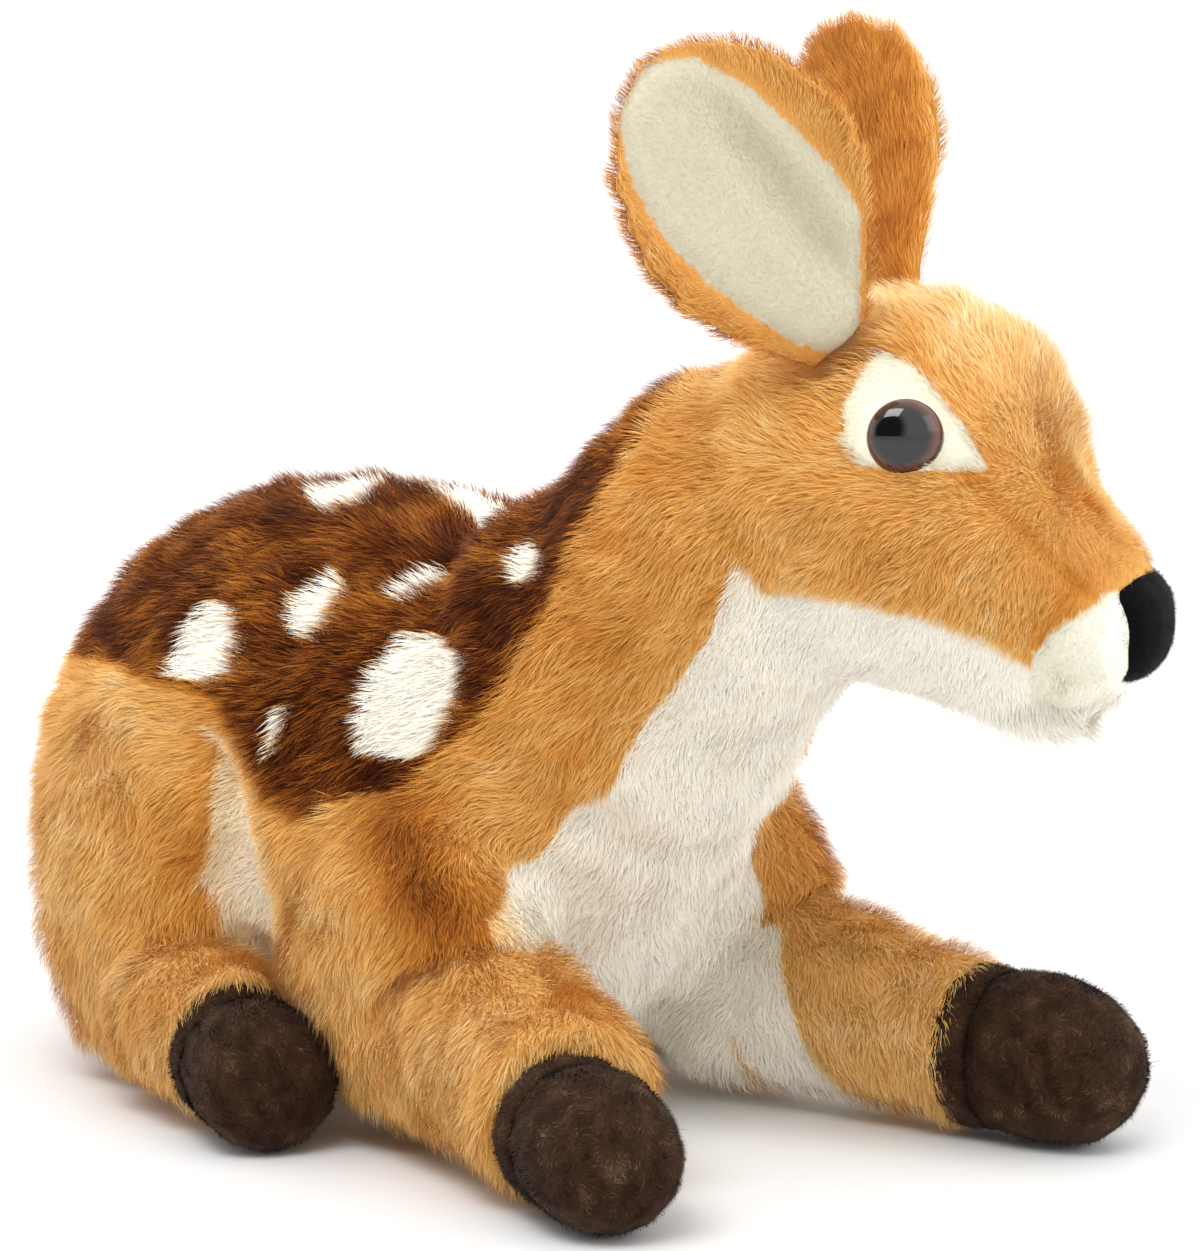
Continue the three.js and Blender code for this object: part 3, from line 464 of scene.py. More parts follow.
coatLook = {
    "seed": 3,
    "pileSteps": (1.2, 2.5, 5, 7),
    "countSteps": (6, 5.2, 4.4, 3.5),  # strands to the square millimetre at those lengths
    "hidden": {"facing": -0.6, "below": 14, "share": 0.35},  # fewer where it lies on the floor
    "swirl": 0.2,
    "swirlLength": 26,
    "curl": 0.2,
    "curlLength": 10,
    "stray": 0.2,
    "lift": 0.66,
    "liftWave": 0.14,
    "liftRange": (0.12, 1.4),
    "bend": (1.35, 0.65),  # share of the lift in the lower and the upper half
    "bendRange": (0.04, 1.5),
    "lengths": (0.6, 1.05),
    "wisps": 0,
    "wispLength": 3.5,
    "wispTone": 0.25,
    "lockShare": 0.5,
    "lockPull": (0.4, 1),
    "lockCurve": 1.5,
    "toneNoise": 0.028,
    "lockTone": 0.016,
    "toneWave": 0.014,
    "width": 0.125,
    "widths": (0.7, 1.3),
    "roll": 0.35,
    "round": 0.2,  # turn of the shading normals from one side of a ribbon to the other
}
# How each kind of pile departs from that, in the order of kinds
manner = {
    "gather": (0.12, 0.2, 0.06, 0.05, 0.2, 0.1),
    "vary": (1.5, 2.8, 0.3, 0.5, 1, 1),
    "tilt": (0.12, 0.2, 0.04, 0.04, 0.2, 0.2),
    "broad": (1, 1, 1.3, 1.4, 1, 1),
    "lie": (1, 1, 0.75, 0.7, 1, 1),
}


def perKind(key, kind):
    return np.array(manner[key])[kind]


def growStrands(skin, look):
    rng = np.random.default_rng(look["seed"])
    tris, points = skin["tris"], skin["points"]
    a, b, c = (points[tris[:, k]] for k in range(3))
    area = np.linalg.norm(np.cross(b - a, c - a), axis=1) / 2
    perArea = np.interp(skin["pile"][tris].mean(1), look["pileSteps"], look["countSteps"])
    hidden = look["hidden"]
    under = (skin["normals"][tris[:, 0], 2] < hidden["facing"]) & (a[:, 2] < hidden["below"])
    perArea *= np.where(under, hidden["share"], 1)
    bare = skin.get("bare", np.zeros(len(points), bool))
    weight = np.cumsum(area * perArea * ~bare[tris].any(1))
    count = int(weight[-1])
    pick = np.searchsorted(weight, (np.arange(count) + rng.random(count)) / count * weight[-1])
    pick = np.minimum(pick, len(tris) - 1)
    u, v = rng.random(count), rng.random(count)
    over = u + v > 1
    u[over], v[over] = 1 - u[over], 1 - v[over]
    share = np.stack([1 - u - v, u, v], 1)[:, :, None]

    def spread(key):
        values = skin[key].reshape(len(points), -1)
        return (values[tris[pick]] * share).sum(1)

    root = spread("points")
    normal = unit(spread("normals"))
    comb = spread("comb")
    comb = unit(comb - dots(comb, normal) * normal)
    long = spread("pile")[:, 0]
    corner = tris[pick, np.argmax(share[:, :, 0], 1)]

    def wave(length, seed):
        return waves(root, look[f"{length}Length"], look["seed"] + seed)

    cloth = skin["kind"][corner]
    swirl = look["swirl"] * wave("swirl", 1)
    swirl += look["curl"] * wave("curl", 2)
    swirl += rng.normal(0, look["stray"], count)
    side = np.cross(normal, comb)
    lay = comb * np.cos(swirl)[:, None] + side * np.sin(swirl)[:, None]
    lift = look["lift"] + look["liftWave"] * wave("curl", 3)
    lift = lift * perKind("lie", cloth) + rng.normal(0, look["stray"], count)
    lift = np.clip(lift, *look["liftRange"])
    lengths = long * rng.uniform(*look["lengths"], count)
    wisp = rng.random(count) < look["wisps"]
    lengths *= np.where(wisp, look["wispLength"], 1)
    curve = [root]
    for rate in look["bend"]:
        angle = np.clip(lift * rate, *look["bendRange"])[:, None]
        way = lay * np.cos(angle) + normal * np.sin(angle)
        curve.append(curve[-1] + way * lengths[:, None] / 2)

    # Tips gather into locks round a few of the strands
    density = np.interp(long, look["pileSteps"], look["countSteps"])
    index = np.flatnonzero(rng.random(count) < look["lockShare"] / density)
    tree = KDTree(len(index))
    for i in index:
        tree.insert(Vector(root[i]), int(i))
    tree.balance()
    lead = np.array([tree.find(Vector(p))[1] for p in root])
    pull = perKind("gather", cloth) * rng.uniform(*look["lockPull"], count)
    for step in (1, 2):
        gain = (pull * (step / 2) ** look["lockCurve"])[:, None]
        curve[step] = curve[step] + (curve[step][lead] - curve[step]) * gain
        curve[step][:, 2] = np.maximum(curve[step][:, 2], skinLook["floor"])

    kind, tone = skin["baseKind"][corner], skin["baseTone"][corner]
    for zone, within in skin["zones"]:
        seen = root + (curve[2] - root) * zone.get("along", 0.25)
        depth, inside = zoneShare(zone, seen, within[corner])
        kind, tone = colourBy(zone, depth, inside, kind, tone)
    tilt = unit(rng.normal(0, 1, (count, 3)))[lead] * perKind("tilt", kind)[:, None]
    vary = look["toneNoise"] * rng.normal(0, 1, count)
    vary += look["lockTone"] * rng.normal(0, 1, count)[lead]
    vary += look["toneWave"] * wave("swirl", 5)
    vary += look["toneWave"] * wave("curl", 6)
    vary += np.where(wisp, look["wispTone"], 0)
    width = look["width"] * perKind("broad", kind) * np.clip(long / 5, 0.5, 1)
    return {
        "curve": curve,
        "normal": normal,
        "shading": unit(normal + tilt),
        "round": look["round"],
        "kind": kind,
        "tone": np.clip(tone + vary * perKind("vary", kind), 0.01, 0.99),
        "roll": rng.uniform(-look["roll"], look["roll"], count),
        "width": width * rng.uniform(*look["widths"], count),
    }


def pileObject(name, strands, chosen, material):
    curve = [points[chosen] for points in strands["curve"]]
    normal = strands["normal"][chosen]
    count = len(normal)
    way = unit(curve[2] - curve[0])
    side = unit(np.cross(way, normal))
    roll = strands["roll"][chosen][:, None]
    side = side * np.cos(roll) + np.cross(side, way) * np.sin(roll)
    half = side * strands["width"][chosen][:, None] / 2
    corners = [curve[0] - half, curve[0] + half, curve[1] - half, curve[1] + half, curve[2]]
    points = np.stack(corners, 1).reshape(-1, 3)
    loops = np.array([0, 1, 3, 2, 2, 3, 4])
    loops = (loops[None] + 5 * np.arange(count)[:, None]).ravel()
    piece = meshObject(name, points, loops, np.tile([4, 3], count))
    sign = np.array([-1, 1, 1, -1, -1, 1, 0]) / 1024  # keeps the map from folding flat
    along = np.array([0, 0, 1, 1, 1, 1, 2]) / 2
    uv = np.empty((count, 7, 2), np.float32)
    uv[:, :, 0] = strands["tone"][chosen][:, None] + sign[None]
    uv[:, :, 1] = along[None]
    layer = piece.data.uv_layers.new(name="OFBake")
    layer.data.foreach_set("uv", uv.ravel())
    tilt = np.array([-1, 1, -1, 1, 0])[None, :, None] * strands["round"]
    facing = unit(strands["shading"][chosen][:, None] + side[:, None] * tilt)
    piece.data.normals_split_custom_set_from_vertices(facing.reshape(-1, 3))
    piece.data.materials.append(material)
    return piece


# Materials

def linear(rgb):
    return tuple((c / 255) ** 2.2 for c in rgb) + (1,)


def setAll(thing, values):
    for key, value in values.items():
        setattr(thing, key, value)


def addNode(tree, kind, inputs=None, **values):
    node = tree.nodes.new(f"ShaderNode{kind}")
    setAll(node, values)
    setInputs(node, inputs or {})
    return node


def setInputs(node, inputs):
    for socket, value in inputs.items():
        node.inputs[socket].default_value = value


def join(tree, *links):
    for source, output, target, socket in links:
        tree.links.new(source.outputs[output], target.inputs[socket])


def fillRamp(node, stops):
    ramp = node.color_ramp
    while len(ramp.elements) > 2:
        ramp.elements.remove(ramp.elements[1])
    for k, (place, rgb) in enumerate(stops):
        element = ramp.elements[k] if k < 2 else ramp.elements.new(place)
        element.position = place
        element.color = linear(rgb)


def paletteGroup(name, stops):
    group = bpy.data.node_groups.new(name, "ShaderNodeTree")
    for label, value in (("Tone", 0.6), ("Along", 0.5), ("Shift", 0.12), ("RootShade", 0.55)):
        socket = group.interface.new_socket(label, in_out="INPUT", socket_type="NodeSocketFloat")
        socket.default_value = value
    group.interface.new_socket("Color", in_out="OUTPUT", socket_type="NodeSocketColor")
    given, result = (group.nodes.new(f"NodeGroup{end}") for end in ("Input", "Output"))
    centred = addNode(group, "Math", {1: 0.6}, operation="SUBTRACT")
    moved = addNode(group, "Math", operation="MULTIPLY_ADD")
    ramp = addNode(group, "ValToRGB")
    fillRamp(ramp, stops)
    # Towards the root the colour is darkened by the root factor: painted shade deep in the pile
    shade = addNode(group, "MapRange", {"From Min": 0, "From Max": 0.7, "To Max": 1})
    mix = addNode(group, "Mix", {"Factor": 1}, data_type="RGBA", blend_type="MULTIPLY")
    join(
        group,
        (given, "Along", centred, 0),
        (centred, 0, moved, 0),
        (given, "Shift", moved, 1),
        (given, "Tone", moved, 2),
        (moved, 0, ramp, 0),
        (given, "Along", shade, "Value"),
        (given, "RootShade", shade, "To Min"),
        (ramp, "Color", mix, "A"),
        (shade, "Result", mix, "B"),
        (mix, "Result", result, "Color"),
    )
    return group


plushPalette = paletteGroup(
    "plushPalette",
    [
        (0.0, (54, 22, 6)),
        (1.0, (255, 252, 242)),
        (0.14, (112, 56, 18)),
        (0.3, (178, 104, 38)),
        (0.46, (216, 144, 62)),
        (0.6, (234, 176, 96)),
        (0.74, (245, 208, 140)),
        (0.86, (250, 240, 218)),
    ],
)
feltPalette = paletteGroup(
    "feltPalette",
    [(0.0, (24, 16, 10)), (1.0, (150, 122, 96)), (0.5, (70, 50, 37))],
)
velourPalette = paletteGroup(
    "velourPalette",
    [
        (0.0, (58, 44, 30)),
        (1.0, (250, 248, 234)),
        (0.25, (160, 150, 120)),
        (0.6, (230, 226, 202)),
    ],
)
nosePalette = paletteGroup(
    "nosePalette", [(0.0, (7, 7, 9)), (1.0, (96, 98, 110)), (0.4, (22, 22, 27))]
)


def newMaterial(name, roughness, sheen, shine=0.25):
    material = bpy.data.materials.new(name)
    material.use_nodes = True
    shader = material.node_tree.nodes["Principled BSDF"]
    setInputs(shader, {"Roughness": roughness, "Specular IOR Level": shine})
    setInputs(shader, {"Sheen Weight": sheen, "Sheen Roughness": 0.5})
    return material, shader


# root sets how dark the painted shade at the foot of each strand is
def pileMaterial(name, palette, root, shift, roughness=0.75, sheen=0.08, shine=0.15, paintedGlow=0):
    material, shader = newMaterial(name, roughness, sheen, shine)
    # Emission in the palette's own colour lifts the pile's shade: painted light, as if the fibres
    # glowed
    setInputs(shader, {"Emission Strength": paintedGlow})
    tree = material.node_tree
    place = addNode(tree, "UVMap", uv_map="OFBake")
    parts = addNode(tree, "SeparateXYZ")
    colour = addNode(tree, "Group", {"RootShade": root, "Shift": shift}, node_tree=palette)
    join(
        tree,
        (place, "UV", parts, 0),
        (parts, "X", colour, "Tone"),
        (parts, "Y", colour, "Along"),
        (colour, "Color", shader, "Base Color"),
        (colour, "Color", shader, "Emission Color"),
    )
    return material


grain = {"scale": 1400, "strength": 0.35, "distance": 0.0004}
# Longer pile gives the backing a lower, darker colour: painted shade deep under the strands, its
# depth set by the root factor of 0.7 below
pileDepthShade = {"From Min": 1.2, "From Max": 4, "To Min": 0.65, "To Max": 0.35}


def clothMaterial(name, palette, patches=None):
    material, shader = newMaterial(name, 0.95, 0.05, 0.1)
    tree = material.node_tree
    tone = addNode(tree, "Attribute", attribute_name="tone")
    pile = addNode(tree, "Attribute", attribute_name="pile")
    deepPileShade = addNode(tree, "MapRange", pileDepthShade)
    shown, output = addNode(tree, "Group", {"RootShade": 0.7}, node_tree=palette), "Color"
    join(
        tree,
        (pile, "Fac", deepPileShade, "Value"),
        (tone, "Fac", shown, "Tone"),
        (deepPileShade, "Result", shown, "Along"),
    )
    if patches is not None:
        velour = addNode(tree, "Attribute", attribute_name="velour")
        patched = addNode(tree, "Group", {"RootShade": 1}, node_tree=patches)
        mix = addNode(tree, "Mix", data_type="RGBA")
        join(
            tree,
            (velour, "Fac", mix, "Factor"),
            (tone, "Fac", patched, "Tone"),
            (shown, output, mix, "A"),
            (patched, "Color", mix, "B"),
        )
        shown, output = mix, "Result"
    noise = addNode(tree, "TexNoise", {"Scale": grain["scale"]})
    place = addNode(tree, "TexCoord")
    depth = {"Strength": grain["strength"], "Distance": grain["distance"]}
    bump = addNode(tree, "Bump", depth)
    join(
        tree,
        (shown, output, shader, "Base Color"),
        (place, "Object", noise, "Vector"),
        (noise, "Fac", bump, "Height"),
        (bump, "Normal", shader, "Normal"),
    )
    return material


backing = clothMaterial("backing", plushPalette, velourPalette)
feltCloth = clothMaterial("felt_backing", feltPalette)
noseCloth = clothMaterial("nose_backing", nosePalette)
pileMaterials = {
    # The tan and white pile glow a little: painted light that fills their shade
    "tan": (pileMaterial("tan_pile", plushPalette, 0.87, 0.12, paintedGlow=0.07), "plush_tan"),
    "brown": (pileMaterial("brown_pile", plushPalette, 0.8, 0.3, sheen=0.02, shine=0.08),
              "plush_brown"),
    "white": (pileMaterial("white_pile", plushPalette, 0.97, 0.04, paintedGlow=0.05), "plush_white"),
    "velour": (pileMaterial("velour_pile", velourPalette, 0.97, 0.06), "velour_cream"),
    "felt": (pileMaterial("felt_pile", feltPalette, 0.9, 0.2, 0.9, 0.03, 0.06), "felt_brown"),
    "black": (pileMaterial("nose_pile", nosePalette, 0.85, 0.2, 0.9, 0.05, 0.1), "nose_black"),
}
print("materials made")


def dress(skin, name, material, look, body):
    settleSkin(skin, look.get("ripple", skinLook["ripple"]))
    piece = skinObject(f"{name}_skin", skin, material)
    pieces = [piece]
    strands = growStrands(skin, look)
    for index in np.unique(strands["kind"]):
        label = kinds[index]
        cloth, pileSlot = pileMaterials[label]
        pile = pileObject(f"{name}_{label}_pile", strands, strands["kind"] == index, cloth)
        pieces.append(pile)
    for each in pieces:
        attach(each, body)
    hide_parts(*skin["nodes"])
    print(name, len(skin["points"]), len(strands["kind"]))


# What the strands' own zones start from
def startZones(skin):
    skin["baseKind"], skin["baseTone"] = skin["kind"].copy(), skin["tone"].copy()


# Whole skin of the trunk, neck and head

coat = {"voxel": 1.7, "rounds": 24, "elbow": 21.5, "hock": 19}
bodyNodes = ["torso", "torso_filling", "saddle_panel", "chest_panel", "belly_panel"]
bodyNodes += [f"{kind}_{side}" for kind in ("thigh", "upper_arm") for side in sides]
neckNodes = ["neck", "throat_panel", "nape_panel"]
headNodes = ["head", "head_filling", "jaw_panel", "nose"]
headNodes += [f"{k}_{s}" for k in ("muzzle_patch", "eye_patch", "eye") for s in sides]
plugs = [(pivotOf(f"foreleg_{side}"), coat["elbow"]) for side in sides]
plugs += [(pivotOf(f"hind_leg_{side}"), coat["hock"]) for side in sides]
whole = makeSkin(
    bodyNodes + neckNodes + headNodes, coat["voxel"], coat["rounds"], balls=plugs, mends=2
)

# The sewn trunk is filled out along its ridge and behind
ridge = {
    "above": (82, 20),
    "before": (92, -34),
    "rise": 4,
    "rear": (10, -40),
    "rearAbove": (45, 30),
    "back": 3,
}
x, _, z = whole["smooth"].T
above = climb(z, *ridge["above"]) * climb(x, *ridge["before"])
behind = climb(x, *ridge["rear"]) * climb(z, *ridge["rearAbove"])
whole["smooth"] = whole["smooth"] + ridge["rise"] * np.outer(above, (0, 0, 1))
whole["smooth"] = whole["smooth"] - ridge["back"] * np.outer(behind, (1, 0, 0))

calmed = {"reach": 13, "rounds": 40, "places": [(-9, 52, 77), (-6, 54, 67), (67, 60, 48)]}
for x, y, z in calmed["places"]:  # steps left between the padded pieces
    for side in (-y, y):
        gap = np.linalg.norm(whole["smooth"] - (x, side, z), axis=1)
        share = 0.5 * np.exp(-((gap / calmed["reach"]) ** 2))[:, None]
        for _ in range(calmed["rounds"]):
            even = averaged(whole["smooth"], whole["edges"])
            whole["smooth"] = whole["smooth"] + share * (even - whole["smooth"])
refaced(whole)

noseShape = {
    "centre": (76.8, 0, -12.5),
    "reach": (11.4, 15.2, 12.2),
    "bare": 1.14,  # times that reach, where no coat grows
    "power": (0.9, 0.85, 0.85),
    "flare": 0.12,
}
face = {
    "nose": (84, 0, -12),
    "pile": (1.9, 0.07, 5.4),  # beside the nose, gain over the distance, and most
    "brow": (24, -14),
    "falling": (-0.25, 0, -1.0),  # comb that comes in under the brow
    "share": 0.75,  # how much of the comb away from the nose goes there
}
headParts = ("head", "jaw", "eye", "muzzle", "nose")
inHead = owned(whole, *headParts)
local = headFrom(whole["smooth"])
fromNose = local - np.array(face["nose"])
least, gain, most = face["pile"]
grown = least + gain * np.linalg.norm(fromNose, axis=1)
whole["pile"] = np.where(inHead, np.minimum(grown, most), whole["pile"])
below = climb(local[:, 2], *face["brow"])[:, None]
headComb = unit(fromNose) * (1 - face["share"] * below) + np.array(face["falling"]) * below
whole["comb"] = np.where(inHead[:, None], headComb @ headAxes, whole["comb"])
inNose = np.linalg.norm((local - noseShape["centre"]) / noseShape["reach"], axis=1)
whole["bare"] = owned(whole, "eye_right", "eye_left", "nose") | (inNose < noseShape["bare"])

startZones(whole)
onHead = {"head": True, "nodes": headParts}
tuft = {"width": 9, "length": 4, "pile": 9}
for side in sides:
    foot = pivotOf(f"ear_{side}")
    rising = unit(centreOf(f"ear_back_{side}") - foot)
    line = (foot, foot + rising * tuft["length"])
    zone = crease(0, tuft["width"], *line, pile=tuft["pile"], comb=rising, nodes=headParts)
    addZone(whole, zone)
besideNodes = ("torso", "saddle", "belly", "chest", "thigh", "neck", "throat", "nape")
zones = [
    patch(  # under the belly
        "white", (-20, -36, 4), (100, -36, 4), (112, 0, 4), (100, 36, 4), (-20, 36, 4),
        tone=0.93, reach=26,
    ),
    patch(  # bib and throat
        "white", (152, -27, 130), (140, -27, 115), (127, -25, 97), (113, -28.5, 75),
        (104, -33, 62), (104, -49, 51), (100, -44, 20), (100, 30, 20), (103, 30, 51),
        (104, 26, 61), (113, 24, 75), (127, 22, 97), (140, 27, 115), (152, 27, 130),
        reach=44, soft=0.5, pile=4.6, seam=True,
        nodes=("torso", "chest", "belly", "throat", "neck", "upper"),
    ),
    patch(  # jaw
        "white", (7, 0, 3), (9, 0, -1), (14, 0, -4.8), (31, 0, -5.7), (41, 0, -7.7),
        (47, 0, -9), (56.6, 0, -13.5), (64.3, 0, -19), (72, 0, -23), (95, 0, -25),
        (95, 0, -70), (-30, 0, -70),
        tone=0.97, pile=3.8, soft=0.5, seam=True, **onHead,
    ),
    patch(  # dark saddle and the stripe of the nape
        "brown", (-80, 0, 84), (-40, 0, 88), (-12, 0, 90), (8, 0, 89), (26, 0, 88),
        (33, 0, 82), (38, 0, 76), (43, 0, 69), (51, 0, 66), (64, 0, 68), (75, 0, 73),
        (86, 0, 84), (96, 0, 95), (104, 0, 109), (109, 0, 121), (117, 0, 136),
        (122, 0, 150), (121, 0, 163), (112, 0, 190), (-80, 0, 190),
        edgeTone=0.15, soft=2.2, nodes=besideNodes + ("head",),
    ),
    patch(  # tuft under the chin
        "white", (54, 0, -25), (71, 0, -25), (75, 0, -34), (68, 0, -42), (54, 0, -38),
        tone=0.98, pile=11, comb=(0.4, 0, -1), soft=6, reach=16, **onHead,
    ),
]
bothSides = [
    patch(  # strip up the flank, its white toned down as painted shade of the recess it lies in
        "white", (22, -52, 84), (30, -52, 80), (35, -52, 74), (38, -52, 68), (42, -52, 50),
        (43, -52, 20), (8, -52, 16), (18, -52, 45), (25, -52, 62), (25, -52, 76),
        tone=0.86, reach=26, pile=4.5, sink=6, nodes=("torso", "saddle", "belly"),
    ),
    patch(  # round the eye
        "velour", (35, -25, 42.5), (32.5, -29.3, 38.4), (30.5, -33.1, 33), (30.6, -36.8, 26),
        (34.5, -37.2, 21.2), (43.3, -36.3, 20.2), (58, -29.5, 20.6), (53.4, -28.8, 28),
        (46.6, -27.7, 35.9), (41.5, -27.1, 40.4),
        tone=0.72, pile=1.3, head=True, soft=0.4, reach=16,
    ),
    patch(  # muzzle
        "velour", (65.3, -22.4, -18.3), (68.2, -22.8, -13.2), (73.6, -21, -9.3),
        (79.1, -16, -4.5), (88, -9, -6), (88, -6, -24), (79.6, -11.1, -25),
        (73.6, -10, -29.5), (68.4, -13.2, -30), (64.5, -18.6, -26.2),
        tone=0.86, pile=1.6, head=True, soft=0.4, seam=True, reach=14,
    ),
    crease(  # puckered seam from the eye to the nose, with painted shade in its fold
        -0.1, 1.7, (54, -31, 20), (59.3, -29.4, 14.7), (66.3, -25.4, 6.9),
        (73.1, -20.2, -1.2), (78.4, -17.3, -5.2), pinch=1, **onHead,
    ),
    # cheek over the neck, with painted shade in the crease under it
    crease(-0.05, 4, (140, -24, 151), (149, -30, 139), (151, -27, 127), pinch=0.8),
    crease(  # painted shade in the crease between the upper arm and the chest
        -0.19, 8.5, (74, -48, 76), (81, -52, 71), (86, -54, 65), (92, -55, 59), (99, -53, 54),
        (104, -49, 51),
    ),
    # more painted shade lower in that crease
    crease(-0.15, 7, (80, -53, 66), (87, -55, 62), (93, -56, 54), (95, -57, 45)),
    crease(  # folds of the saddle, where the pile catches the light
        0.12, 3.5, (57, -31, 109), (64, -22, 113), (85, -28, 120), (95, -28, 124),
        nodes=besideNodes,
    ),
    # painted highlight on another fold of the saddle
    crease(0.1, 5, (37, -27, 116), (42, -21, 120), (47, -11, 123), nodes=besideNodes),
    # deeper gold on the thigh, paler behind
    crease(-0.07, 14, (28, -53, 76), (22, -54, 60), (16, -55, 38), nodes=besideNodes),
    crease(0.07, 12, (-4, -50, 84), (-16, -57, 62), (-10, -57, 24), nodes=besideNodes),
    # paler upper arm
    crease(0.06, 11, (58, -58, 62), (64, -60, 48), (72, -62, 36)),
    # painted shade on the side of the neck
    crease(-0.11, 13, (96, -34, 96), (112, -32, 115), (126, -26, 135)),
    # crown and forehead, painted lighter as if lit from above
    crease(0.07, 22, (8, 0, 48), (40, 0, 50), (66, 0, 36), **onHead),
    # dip between the forehead and the nose
    crease(0, 14, (70, -5, 21), (73, 0, 21), (70, 5, 21), sink=2.4, **onHead),
    # darker brown band round the nose
    crease(-0.6, 4, (69, -16.5, -5), (67, -18, -13), (69, -15, -22), **onHead),
]
for zone in bothSides:
    zones += mirrored(zone)

# White spots of the saddle, as outlines on the right flank and the back
spots = [
    [(61, -39, 98), (66, -36, 104), (74, -35, 105), (83, -36, 101), (85, -40, 94),
     (83, -44, 84), (80, -45, 81), (66, -47, 80), (63, -46, 85)],
    [(8, -42, 100), (13, -39, 106), (21, -40, 105), (25, -44, 99), (25, -47, 93),
     (18, -48, 90), (8, -47, 90)],
    [(38, -34, 110), (42, -30, 113), (46, -32, 110), (46, -39, 104), (41, -42, 101),
     (37, -40, 104), (36, -37, 108)],
    [(57, -28, 111), (60, -22, 114), (62, -20, 115), (65, -22, 113), (62, -28, 110),
     (59, -32, 108), (56, -30, 109)],
    [(88, -28, 122), (93, -26, 125), (98, -30, 123), (97, -32, 119), (93, -33, 117),
     (90, -31, 119)],
    [(12, -12, 124), (18, -3, 126), (29, -2, 126), (29, -11, 124), (26, -19, 122)],
    [(42, -50, 88), (44, -49, 88), (44, -51, 82), (42, -52, 77), (41, -52, 78),
     (41, -51, 83)],
]
ridgeSpot = [(35, 1, 127), (51, -3, 127), (72, -8, 128), (88, -14, 128), (94, -10, 130),
             (90, 8, 130), (60, 15, 128), (36, 11, 127)]
spotShift = (-5, 0, 0)
spotPrint = {"tone": 0.97, "reach": 14, "soft": 0.6, "along": 0.7}
zones.append(patch("white", *ridgeSpot, nodes=("torso", "saddle"), **spotPrint))
for spot in spots:
    near, far = mirrored(
        patch("white", *spot, nodes=("torso", "saddle", "belly", "neck"), **spotPrint)
    )
    far["outline"] = far["outline"] + spotShift
    zones += [near, far]
for zone in zones:
    addZone(whole, zone)

neckLine = {"low": (97.45, 0, 96.66), "way": (0.715, 0, 0.699)}
neckLow, neckWay = np.array(neckLine["low"]), unit(np.array(neckLine["way"]))
neckBend = {"low": (-14, 16), "cut": 19, "high": (22, 54)}


def neckPoint(distance):
    return neckLow + neckWay * distance


def blendPiece(piece):
    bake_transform(piece)


settleSkin(whole)
print("coat skin", len(whole["points"]))
coatPiece = skinObject("coat", whole, backing)
trunkSkin = cutPiece(coatPiece, "trunk_skin", neckPoint(neckBend["cut"]), neckWay, True)
headSkin = cutPiece(coatPiece, "head_skin", neckPoint(neckBend["cut"]), neckWay, False)
bpy.data.objects.remove(coatPiece)
blendPiece(trunkSkin)
blendPiece(headSkin)
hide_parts(*bodyNodes, *neckNodes)
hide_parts("head", "head_filling", "jaw_panel")
for side in sides:
    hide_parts(f"muzzle_patch_{side}", f"eye_patch_{side}", f"eye_washer_{side}")

coatStrands = growStrands(whole, coatLook)
root, strandKind = coatStrands["curve"][0], coatStrands["kind"]
atHead = (root - neckLow) @ neckWay > neckBend["cut"]
splitAt = {"tan": (8, 62), "white": (20, 75), "brown": (35,), "velour": ()}
faceFrom = 172
atFace = root[:, 0] >= faceFrom
for label, limits in splitAt.items():
    cloth, slotName = pileMaterials[label]
    stretch = np.searchsorted(limits, root[:, 0])
    parts = [
        (part, ~atHead & (stretch == k))
        for k, part in enumerate(("rump", "flank", "chest")[: len(limits) + 1])
    ]
    for part, chosen in parts + [("head", atHead & ~atFace), ("face", atHead & atFace)]:
        chosen = chosen & (strandKind == kinds.index(label))
        if not chosen.any():
            continue
        piece = pileObject(f"{part}_{label}_pile", coatStrands, chosen, cloth)
        if part in ("head", "face"):
            blendPiece(piece)
        else:
            blendPiece(piece)
        print(piece.name, int(chosen.sum()))


# Legs

longer = {"foreleg_left": 1.035}  # reach of a leg beside its solid
fuller = {"foreleg_right": (9, 7), "foreleg_left": (5, 0)}  # upwards at the root, and inwards
legShape = {
    "voxel": 1.5,
    "rounds": 20,
    "forwards": 0.45,  # in the way the pile falls
    # paler than the coat's tan: painted light that makes up for the shade the legs stand in
    "tone": 0.64,
    "root": (62, -32),  # where it swells upwards
    "inside": (8, 22),  # and inwards
    "insideTilt": 0.3,
}
sleeve = {"top": 5, "bottom": 1.5, "height": 40, "over": 14}  # how far it covers the hoof
lining = {
    "outline": [(-30, 22, -5), (32, 22, -5), (30, 22, 6), (15.72, 22, 40), (-30, 22, 40)],
    "reach": 26,
    "soft": 1.5,
}
# Size of a hoof beside its solid
snug = {"fore_hoof_right": 0.9, "hind_hoof_right": 0.93, "hind_hoof_left": 0.93}
hoofShape = {
    "voxel": 1.2,
    "rounds": 8,
    "forwards": 0.3,
    "toe": 14,  # the point that a smaller hoof keeps, ahead of the cap's middle
    "groove": 2.2,
    "inside": 4,  # how far the cap's inner face reaches into the band
    "sink": 1.3,
    "dark": 0.25,
    "cloud": 0.06,
    "cloudLength": 7,
}
hoofLook = dict(
    coatLook,
    pileSteps=(1, 3),
    countSteps=(5.5, 5.5),
    swirl=0.9,
    swirlLength=16,
    curl=0.6,
    curlLength=5,
    stray=0.35,
    lift=0.35,
    toneNoise=0.09,
    lockTone=0.06,
    toneWave=0.06,
    width=0.2,
    wisps=0.001,
    ripple=0.12,
)


def fallingComb(skin, way, forwards):
    return np.tile(unit(forwards * way - (0, 0, 1)), (len(skin["smooth"]), 1))


